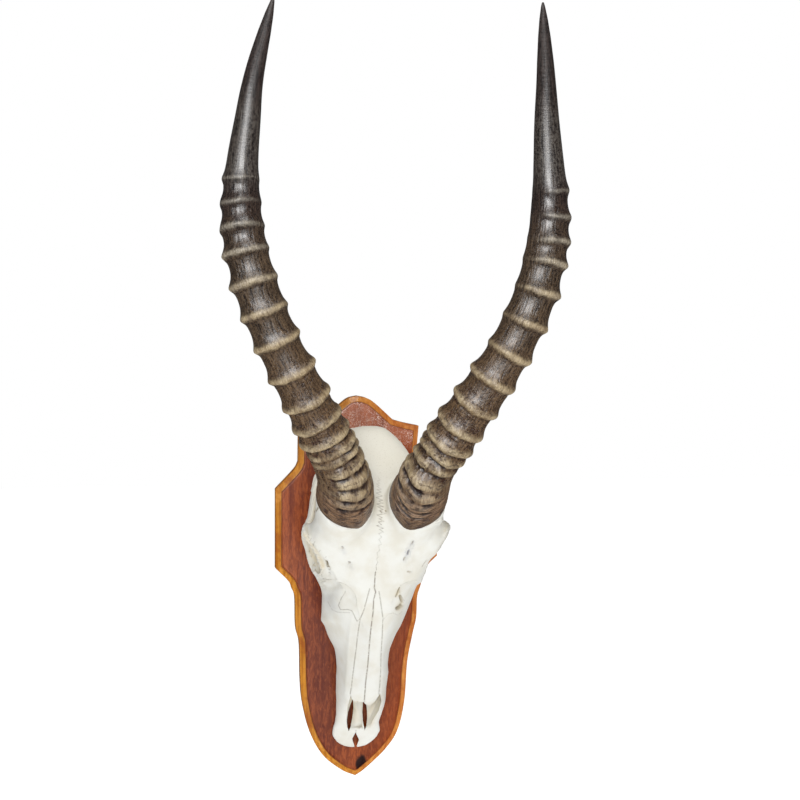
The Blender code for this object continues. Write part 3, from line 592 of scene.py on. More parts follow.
def makeHorn(word, side, seed):
    path = horn[word]
    line, run, along = hornLine(path)
    length = run[-1]
    tube = straightHorn("horn_sheath_" + word, length)
    points = readPoints(tube.data)
    turn = np.arctan2(points[:, 1], points[:, 0])
    facing, outward = np.cos(turn), np.sin(turn)
    level = points[:, 2].copy()
    fromTip = (length - level) / millimetre
    crests = np.cumsum(horn[word + "Rings"])
    radius = lookUp(fromTip, horn["taper"])
    circle = np.stack([facing, outward, level * 0.0], axis=1)
    ringShare = np.zeros(len(points))
    grooveShare = np.zeros(len(points))
    rings = np.zeros(len(points))
    for number, crest in enumerate(crests):
        early, slow = horn["growIn"]
        grown = min(1.0, (number + early) / slow) * min(1.0, (len(crests) - number) / horn["growOut"])
        height = between(horn["ringLeast"], horn["ringHeight"], grown)
        near = np.abs(fromTip - crest) < horn["ringSpan"]
        spot = circle[near]
        stray = hornNoise(spot, 0.9, seed + number * 7.3) * horn["wander"]
        stray += hornNoise(spot, 3.0, seed + number * 3.1) * 0.5
        apart = fromTip[near] - crest - stray - horn[word + "Tilt"] * (1.0 - facing[near])
        reach = np.where(apart > 0.0, horn["ringBaseSide"], horn["ringTipSide"])
        upper = max(0.0, 1.0 - number / horn["upperRings"])
        even = 0.85 + 0.10 * facing[near] + 0.30 * outward[near] * upper
        even *= 1.0 - horn[word + "Inside"] * upper ** 0.5 * smooth(0.1, 0.9, -outward[near])
        even *= 1.0 + 0.22 * hornNoise(spot, 2.2, seed + number * 5.7)
        worn = np.ones(len(spot))
        if number > horn["ropy"]:  # the last rings are broken
            even *= 0.55 + 0.9 * np.clip(0.5 + hornNoise(spot, 1.6, seed + number * 9.1) * 1.6, 0.0, 1.0)
            worn = 1.0 - smooth(0.15, 0.75, outward[near]) * min(1.0, (number - horn["ropy"]) / 3.0)
        rounded = np.sqrt(apart ** 2 + horn["ringRound"] ** 2) - horn["ringRound"]
        rings[near] += height * even * np.exp(-(rounded / reach) ** 1.25) * worn
        wide = between(*horn["crestWide"], number / (len(crests) - 1.0))
        wide *= 1.0 + 0.3 * hornNoise(spot, 2.7, seed + number * 4.3)
        pale = np.exp(-(apart / wide) ** 2) * np.clip(even, 0.0, 1.0) * min(1.0, height / 1.4)
        ringShare[near] = np.maximum(ringShare[near], pale * (0.3 + 0.7 * worn))
        ragged = 0.75 + 0.6 * hornNoise(spot, 6.0, seed + number * 2.9)
        low = max(0.0, (number - horn["ropy"] + 1.0) / 4.0)
        foot = np.exp(-((apart - horn["grooveBelow"]) / (horn["grooveHalf"] + 0.5 * min(1.0, low))) ** 2)
        foot *= worn * even * ragged * min(1.2, 0.35 + 0.3 * low + number * 0.04)
        grooveShare[near] = np.maximum(grooveShare[near], np.clip(foot, 0.0, 1.0))
    ringed = smooth(*horn["roughFrom"], fromTip)
    lean = circle * 14.0 + np.stack([level * 0.0, level * 0.0, level / 0.011], axis=1)
    scores = hornNoise(lean, 1.0, seed) * horn["scoring"] * ringed * (1.0 - 0.75 * ringShare)
    lumps = hornNoise(circle * 1.1 + points * [0.0, 0.0, 60.0], 1.0, seed + 40.0) * horn["lumps"] * ringed
    sunk = grooveShare * between(*horn["grooveDepth"], smooth(*horn["grooveDeepens"], fromTip))
    radius = radius + rings - sunk * ringed + scores + lumps
    if word == "right":
        loss, middleLevel, reach = horn["innerLoss"]
        radius -= loss * np.exp(-((fromTip - middleLevel) / reach) ** 2) * smooth(0.2, 0.95, -outward)
    radius = (radius - lookUp(level / millimetre, horn["footRound"])) * millimetre
    fade = np.clip(1.0 - level / (horn["footReach"] * millimetre), 0.0, 1.0)
    quick = np.clip(1.0 - level / (horn["cuspReach"] * millimetre), 0.0, 1.0)
    lift = footLevel(word, turn, True) * fade + (footLevel(word, turn) - footLevel(word, turn, True)) * quick
    level = np.maximum(level, horn["gap"] * millimetre) + lift * millimetre
    middle = np.stack([np.interp(level, run, line[:, axis]) for axis in range(3)], axis=1)
    upward = unit(np.stack([np.interp(level, run, along[:, axis]) for axis in range(3)], axis=1))
    front = unit(np.array([0.0, -1.0, 0.0]) - upward * -upward[:, 1:2])
    across = np.cross(upward, front) * side
    shaped = middle + front * (facing * radius)[:, None] + across * (outward * radius)[:, None]
    straight = np.stack([facing * radius, outward * radius, length - fromTip * millimetre], axis=1)
    widest, limit = (value * millimetre for value in horn["outside"])
    beyond = np.maximum(0.0, shaped[:, 0] * side - widest)
    drawn = (limit - widest) * np.tanh(beyond / (limit - widest))
    shaped[:, 0] -= side * (beyond - drawn)
    writePoints(tube.data, shaped)
    layer = tube.data.attributes.new("straight", "FLOAT_VECTOR", "POINT")
    layer.data.foreach_set("vector", straight.astype(np.float32).ravel())
    paintOn(tube.data, "crest", ringShare)
    # painted shade: the sunk line past each ring is painted dark
    paintOn(tube.data, "groove", np.clip(grooveShare, 0.0, 1.0))
    paintOn(tube.data, "fromTip", fromTip / horn["tipUnit"])
    turnOutward(tube)
    bpy.ops.object.shade_smooth_by_angle(angle=math.radians(horn["smoothAngle"]))
    return tube


def hornFinish():
    keratin = Finish("ringed horn")
    blend, step, grain, stretch = keratin.blend, keratin.step, keratin.grain, keratin.stretch
    straight = keratin.attribute("straight", "Vector")
    crest, groove, fromTip = (keratin.attribute(name) for name in ("crest", "groove", "fromTip"))
    lines = grain(stretch(straight, (1.0, 1.0, 0.06)), 1000.0, 4.0, 0.6)
    bands = grain(stretch(straight, (1.0, 1.0, 0.10)), 420.0, 3.0, 0.6)
    broad = grain(stretch(straight, (1.0, 1.0, 0.25)), 160.0, 3.0)
    growth = grain(stretch(straight, (0.10, 0.10, 1.0)), 1000.0, 3.0, 0.6)
    flecks = grain(straight, 600.0, 3.0)
    streak = step(lines * 0.6 + bands * 0.1 + flecks * 0.3, 0.38, 0.62)
    stray = broad - 0.5
    lower = step(fromTip + stray * 0.15, 0.50, 0.85)
    rough = grain(stretch(straight, (0.45, 0.45, 1.0)), 330.0, 4.0, 0.6)
    # painted shade: dark colour in the bumped-in crevices on the lower horn
    crevice = step(rough, 0.55, 0.64) * step(fromTip, 0.6, 0.9) * (1 - crest * 0.5)
    valley = blend(lower * 0.9, blend(streak, paint(30, 21, 16), paint(86, 70, 53)),
                   blend(streak, paint(52, 36, 25), paint(115, 90, 63)))
    top = blend(step(lines * 0.6 + broad * 0.4, 0.38, 0.62), paint(118, 98, 71), paint(170, 152, 119))
    thin = blend(streak, paint(98, 90, 78), paint(156, 148, 133))  # the greyer rings near the tip
    top = blend(1 - step(fromTip + stray * 0.1, 0.36, 0.62), top, thin)
    body = blend(step(crest + (flecks - 0.5) * 0.3, 0.02, 0.95), valley, top)
    foot = step(fromTip + stray * 0.05, 0.93, 0.99)
    soil = blend(step(growth * 0.8 + flecks * 0.2, 0.40, 0.60), paint(66, 44, 29), paint(140, 108, 78))
    soil = keratin.coats(soil, (step(fromTip, 1.0, 1.06) * 0.6, 48, 36, 27))
    # painted shade: dark in the bumped crevices and along the sunk line past each ring
    body = keratin.coats(blend(foot * 0.9, body, soil), (crevice * 0.85, 58, 29, 19),
                         (step(groove + (flecks - 0.5) * 0.8, 0.20, 0.80), 38, 19, 13))
    smoothTip = 1 - step(fromTip, 0.30, 0.36)
    worn = step(fromTip + stray * 0.1, 0.14, 0.22) * smoothTip
    # painted highlight: a grey gleam speckled over the glossier worn band near the tip
    paintedGleam = worn * step(flecks * 0.5 + lines * 0.5, 0.40, 0.60)
    tip = keratin.coats(blend(streak, paint(22, 14, 13), paint(56, 43, 38)), (paintedGleam * 0.4, 96, 93, 84))
    point = 1 - step(fromTip + stray * 0.1, 0.08, 0.17)
    dark = 1 - step(fromTip + stray * 0.10, 0.32, 0.50)
    keratin.set("Base Color", blend(dark * (1 - crest * 0.4), body, tip))
    uneven = 0.14 * step(flecks, 0.35, 0.7) + 0.12 * growth * smoothTip
    keratin.set("Roughness", 0.24 + uneven + 0.18 * crest + 0.12 * foot + 0.04 * smoothTip + 0.20 * point)
    keratin.set("Specular IOR Level", 0.8)
    shine = (0.3 * dark + 0.45 * (1 - crest)) * (1 - foot * 0.6) * (1 - point * 0.8)
    keratin.set("Coat Weight", shine + 0.3 * worn)
    keratin.set("Coat Roughness", 0.22)
    relief = (lines + bands + flecks) * 0.5 + growth * (foot * 0.6 + smoothTip * 0.8) - crevice * 1.6
    keratin.set("Normal", keratin.bump(relief * (1.2 - dark * 0.6), 0.9, 0.0008))
    return keratin


hornCoat = hornFinish()
for word, side, seed in (("right", 1.0, 11.0), ("left", -1.0, 53.0)):
    piece = makeHorn(word, side, seed)
    hornCoat.wear(piece)
    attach(piece, "root")
    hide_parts("horn_" + word)
print("horns made")


# The skull: rows from the nose up, each is
# up, top, crown across, crown out, widest across, widest out, low across, low out, palate across, floor
skull = {
    "lean": 0.01, "skew": 0.05, "skewReach": 45,
    "firstGrid": 0.0016, "grid": 0.00142,  # in metres
    # how far on between two named points the points between them are, across and out
    "upperCheek": (0.6, 0.44), "lowerCheek": (0.48, 0.55), "palateRise": 0.25,
    "sections": (
        (-137, 6, 3, 6, 7, 4.8, 6, 2, 3, 1.6),
        (-134, 7, 7.5, 7, 14.5, 5, 13, 1.6, 6, 1.4),
        (-129, 8, 10, 8, 19.5, 5.5, 18, 1.4, 8, 1.4),
        (-121, 10, 11, 10, 21.8, 6.5, 19.6, 1.6, 9, 1.8),
        (-111, 15.5, 11.5, 15, 20.4, 9, 18.4, 3, 9, 3),
        (-98, 27, 12, 26, 21.4, 13, 19.4, 5, 10, 4.5),
        (-87, 44, 12, 42, 22.2, 17.5, 20, 7, 10.5, 6.5),
        (-70, 54.5, 12.5, 52.5, 22.8, 23, 21, 9, 11, 9),
        (-50, 64.5, 13, 62.5, 24.6, 28, 23, 11, 12, 13),
        (-38, 70.5, 13.5, 68.5, 29, 30.5, 26.5, 12.5, 12.5, 17),
        (-24, 77, 14, 75, 34.2, 34, 30, 13.5, 15, 21),
        (-8, 84.5, 15.5, 82.5, 37.6, 40, 32, 14, 17.5, 23.5),
        (8, 90.5, 19, 88.5, 39.8, 46, 33, 14.5, 19, 25),
        (20, 95, 26, 93, 44, 53, 34, 15.5, 19.5, 26),
        (33, 98.5, 36, 96, 51, 63, 33, 24, 18, 30),
        (48, 103, 44, 99.5, 57.5, 75, 34, 36, 16, 34),
        (62, 109, 45, 103, 59.5, 85, 36, 40, 15, 36),
        (74, 110, 39, 105, 50, 80, 36, 40, 15, 37),
        (86, 107, 33, 101, 38.5, 70, 34, 38, 16, 37),
        (100, 101, 29, 93, 36.5, 62, 33, 34, 17, 36),
        (115.2, 91, 25, 84, 35, 57, 30, 30, 17, 34),
        (125.4, 81, 20, 76, 29, 53, 25, 29, 14, 33),
        (135.9, 69, 13, 66, 19.5, 50, 18, 31, 10, 34),
        (142.9, 59, 6, 57, 10, 48, 9, 38, 5, 39)),
    "orbitRim": ((57.3, 88.5, 62.5), (50.5, 90, 53.5), (41.5, 86.5, 43), (34.5, 80.5, 33), (33.5, 70, 28),
        (39, 58, 26.5), (45.5, 50, 32.5), (50.5, 46, 43), (54, 47, 53), (54.5, 56, 61.5), (54.5, 68, 65),
        (55.5, 79, 65.5)),
    "rimRadius": 2.3,
    "cheekArch": ((39, 47, 20), (46.5, 46, 34), (49.5, 45, 47), (50, 43.5, 60), (48.5, 42, 72),
        (45.5, 41.5, 86), (42, 41.5, 97), (34, 43, 109)),
    "archRadius": 3.2, "archSpread": 3,
    "masses": (
        ((18.5, 27, 101), (8.5, 10.5, 13.5)), ((11, 22, 129.5), (8.5, 12, 9.5)),
        ((9.5, 37, 44), (3, 18, 18)),
    ),
    "spike": ((24, 34, 120), (26, 20, 124), (25.5, 6.5, 122)),
    "spikeRadii": (6.8, 4.5, 2.2),
    # middle, radii, and how far each is turned about the out axis
    "hollows": (
        ((49, 68.5, 47), (27, 19.2, 21.5), 31), ((48, 72, 94), (8.5, 24, 23), -14),
        ((31, 20, 66), (12.5, 33, 30), 0), ((46.5, 71, 1), (15, 21, 18.5), 28),
    ),
    "middleHollows": (
        ((0, 22, 52), (8, 13, 26)), ((0, 38, 145), (9.5, 9, 15)),
    ),
    "noseWall": 3, "noseFrom": -100, "noseTo": -20,
    # openings at the tip of the nose, from which height to which they go, and their outlines
    # in the photo's pixels
    "openings": {"mouth": (11, 70), "leftSlit": (-5, 22), "rightSlit": (-5, 22), "notch": (-4, 16)},
    "mouth": ((350.9, 695), (351.6, 698.4), (353.4, 701), (357, 702.3), (361.5, 702.4), (363.6, 702),
        (365, 703.8), (368, 705.4), (371.2, 704.6), (374.6, 701), (379.2, 693.6), (379.6, 701),
        (377.2, 711), (372.2, 722), (367, 732), (361, 727), (356.3, 733), (349.5, 732.5), (346.4, 722),
        (347.4, 708)),
    "leftSlit": ((352.9, 699), (350.2, 705), (348, 712), (346.9, 720), (347.3, 727), (348.8, 731),
        (350.5, 727), (352.2, 718), (353.4, 708)),
    "rightSlit": ((363, 701), (362.3, 712), (363, 722), (364.7, 730.2), (366.3, 726), (367.1, 718),
        (366.9, 710), (366, 703)),
    "notch": ((355.6, 732.6), (358.9, 739.5), (356.9, 745.6), (356.6, 752), (354.6, 752), (354.3, 745.6),
        (352.2, 738.8)),
    "added": (
        ((37.5, 31, 91), (8.5, 6, 15)), ((38.3, 50, 31), (7.6, 12, 12)), ((36.5, 50, 24.5), (5.8, 10, 6.5)),
        ((26, 22.5, 27), (8.5, 9, 14)),
    ),
    # the bone under a horn, the room that is cut for the horn, and the core inside its foot
    "stumpRadius": 23.4, "stumpLength": 34, "seatRadius": 23.7, "seatHeight": 60, "coreRadius": 22.6,
    "coreFrom": -6, "lowest": 0.0123,
    "behind": (0.3, 0.04, 0.4),  # all behind lowest is cut off; both in metres
}


def crownAt(up):
    return float(lookUp(up, skull["sections"]))


def onSkull(across, out, up):  # the bone leans a little and is not quite even from side to side
    below = min(skull["skewReach"], crownAt(up) - out)
    return place(across + skull["lean"] * up + skull["skew"] * below, out, up)


def sectionRing(row, thinner=0.0):
    up, top, crownAcross, crownOut, wideAcross, wideOut, lowAcross, lowOut, palateAcross, floor = row
    upper, lower = skull["upperCheek"], skull["lowerCheek"]
    half = ((0.0, top), (crownAcross, crownOut),
            (between(crownAcross, wideAcross, upper[0]), between(crownOut, wideOut, upper[1])),
            (wideAcross, wideOut),
            (between(wideAcross, lowAcross, lower[0]), between(wideOut, lowOut, lower[1])),
            (lowAcross, lowOut), (palateAcross, between(lowOut, floor, skull["palateRise"])), (0.0, floor))
    middle = (top + floor) / 2.0
    shrunk = [(max(0.0, across - thinner), out - thinner if out > middle else out + thinner, up)
              for across, out in half]
    ring = shrunk + [(-across, out, up) for across, out, up in shrunk[-2:0:-1]]
    return [onSkull(*point) for point in ring]


def loftBody(name, rings):  # one flat ring, extruded again and again, and each new ring put in its place
    bpy.ops.mesh.primitive_circle_add(vertices=len(rings[0]), radius=1.0, fill_type="NGON")
    body = bpy.context.object
    body.name = name
    for vertex, point in zip(body.data.vertices, rings[0]):
        vertex.co = point
    openMesh(body)
    lift = Vector((0.0, 0.0, 0.5))
    before = rings[0]
    for after in rings[1:]:
        bpy.ops.mesh.extrude_region_move(TRANSFORM_OT_translate={"value": lift})
        shape = bmesh.from_edit_mesh(body.data)
        for vertex in [vertex for vertex in shape.verts if vertex.select]:
            was = vertex.co - lift
            nearest = min(range(len(before)), key=lambda index: (before[index] - was).length_squared)
            vertex.co = after[nearest]
        bmesh.update_edit_mesh(body.data)
        before = after
    bpy.ops.mesh.select_all(action="SELECT")
    bpy.ops.mesh.normals_make_consistent(inside=False)
    if bmesh.from_edit_mesh(body.data).calc_volume(signed=True) < 0.0:
        bpy.ops.mesh.flip_normals()
    closeMesh()
    return body


def soften(piece, levels):
    softer = piece.modifiers.new("soft", "SUBSURF")
    softer.levels = levels
    softer.render_levels = levels
    applyModifiers(piece)
    return piece


def ballAt(centre, radii, turn=0.0):
    bpy.ops.mesh.primitive_uv_sphere_add(segments=48, ring_count=28, radius=1.0, location=onSkull(*centre),
                                         rotation=(0.0, math.radians(turn), 0.0),
                                         scale=Vector(radii) * millimetre)
    settle(bpy.context.object)
    return bpy.context.object


def barAlong(name, points, radii, closed=False):
    curve = bpy.data.curves.new(name, "CURVE")
    curve.dimensions = "3D"
    curve.bevel_depth = millimetre
    curve.bevel_resolution = 5
    curve.resolution_u = 10
    curve.use_fill_caps = not closed
    spline = curve.splines.new("BEZIER")
    spline.bezier_points.add(len(points) - 1)
    for knot, point, radius in zip(spline.bezier_points, points, radii):
        knot.co = point
        knot.radius = radius
        knot.handle_left_type = "AUTO"
        knot.handle_right_type = "AUTO"
    spline.use_cyclic_u = closed
    bar = bpy.data.objects.new(name, curve)
    bpy.context.scene.collection.objects.link(bar)
    pick(bar)
    bpy.ops.object.convert(target="MESH")
    bar = bpy.context.object
    openMesh(bar)
    bpy.ops.mesh.remove_doubles(threshold=0.000001)
    closeMesh()
    turnOutward(bar)
    return bar


def hornBlock(word, radius, low, high):  # each end: its share of the foot's slant, and its place up the horn
    base, along, front, outward = hornAxes(word)
    bpy.ops.mesh.primitive_cylinder_add(vertices=72, radius=1.0, depth=2.0)
    block = bpy.context.object
    for vertex in block.data.vertices:
        turn = math.atan2(vertex.co.y, vertex.co.x)
        slant, offset = high if vertex.co.z > 0.0 else low
        level = slant * footLevel(word, turn) + offset
        across = (front * vertex.co.x + outward * vertex.co.y) * radius
        vertex.co = base + (along * level + across) * millimetre
    turnOutward(block)
    return block


def regrow(piece, size, passes):  # one even skin over everything that was joined
    skin = piece.modifiers.new("skin", "REMESH")
    skin.mode = "VOXEL"
    skin.voxel_size = size
    rub = piece.modifiers.new("rub", "SMOOTH")
    rub.factor = 0.5
    rub.iterations = passes
    applyModifiers(piece)


def bothSides(point, side):
    across, out, up = point
    return (side * across, out, up)


def boneSpots(points, side, spread=0.0):
    return [onSkull(side * across, out + spread, up) for across, out, up in points]


def makeSkullForm():
    parts = [soften(loftBody("face", [sectionRing(row) for row in skull["sections"]]), 3)]
    for side in (1.0, -1.0):
        parts += [ballAt(bothSides(centre, side), radii) for centre, radii in skull["masses"]]
        parts.append(barAlong("spike", boneSpots(skull["spike"], side), skull["spikeRadii"]))
    for word in ("right", "left"):
        parts.append(hornBlock(word, skull["stumpRadius"], (0.0, -skull["stumpLength"]), (1.0, 1.0)))
    body = joinPieces(parts, "skull_bone")
    regrow(body, skull["firstGrid"], 5)
    for side in (1.0, -1.0):
        for centre, radii, turn in skull["hollows"]:
            cut(body, ballAt(bothSides(centre, side), radii, side * turn))
    for centre, radii in skull["middleHollows"]:
        cut(body, ballAt(centre, radii))
    rows = [row for row in skull["sections"] if skull["noseFrom"] < row[0] < skull["noseTo"]]
    cut(body, soften(loftBody("passage", [sectionRing(row, skull["noseWall"]) for row in rows]), 2))
    for word in ("right", "left"):
        cut(body, hornBlock(word, skull["seatRadius"], (1.0, 0.0), (0.0, skull["seatHeight"])))
    added = [hornBlock(word, skull["coreRadius"], (0.0, skull["coreFrom"]), (1.0, 0.2))
             for word in ("right", "left")]
    for side in (1.0, -1.0):
        added += [ballAt(bothSides(centre, side), radii) for centre, radii in skull["added"]]
        rim = boneSpots(skull["orbitRim"], side)
        added.append(barAlong("rim", rim, [skull["rimRadius"]] * len(rim), closed=True))
        for spread in (skull["archSpread"], 0.0, -skull["archSpread"]):
            arch = boneSpots(skull["cheekArch"], side, spread)
            added.append(barAlong("arch", arch, [skull["archRadius"]] * len(arch)))
    body = joinPieces([body] + added, "skull_bone")
    regrow(body, skull["grid"], 4)
    for name, (low, high) in skull["openings"].items():
        cut(body, loftBody(name, [[photoPoint(pixel, out) for pixel in skull[name]] for out in (low, high)]))
    wide, deep, high = skull["behind"]
    cut(body, blockAt((0.0, deep / 2.0 - skull["lowest"], 0.0), (wide, deep, high)))
    return body


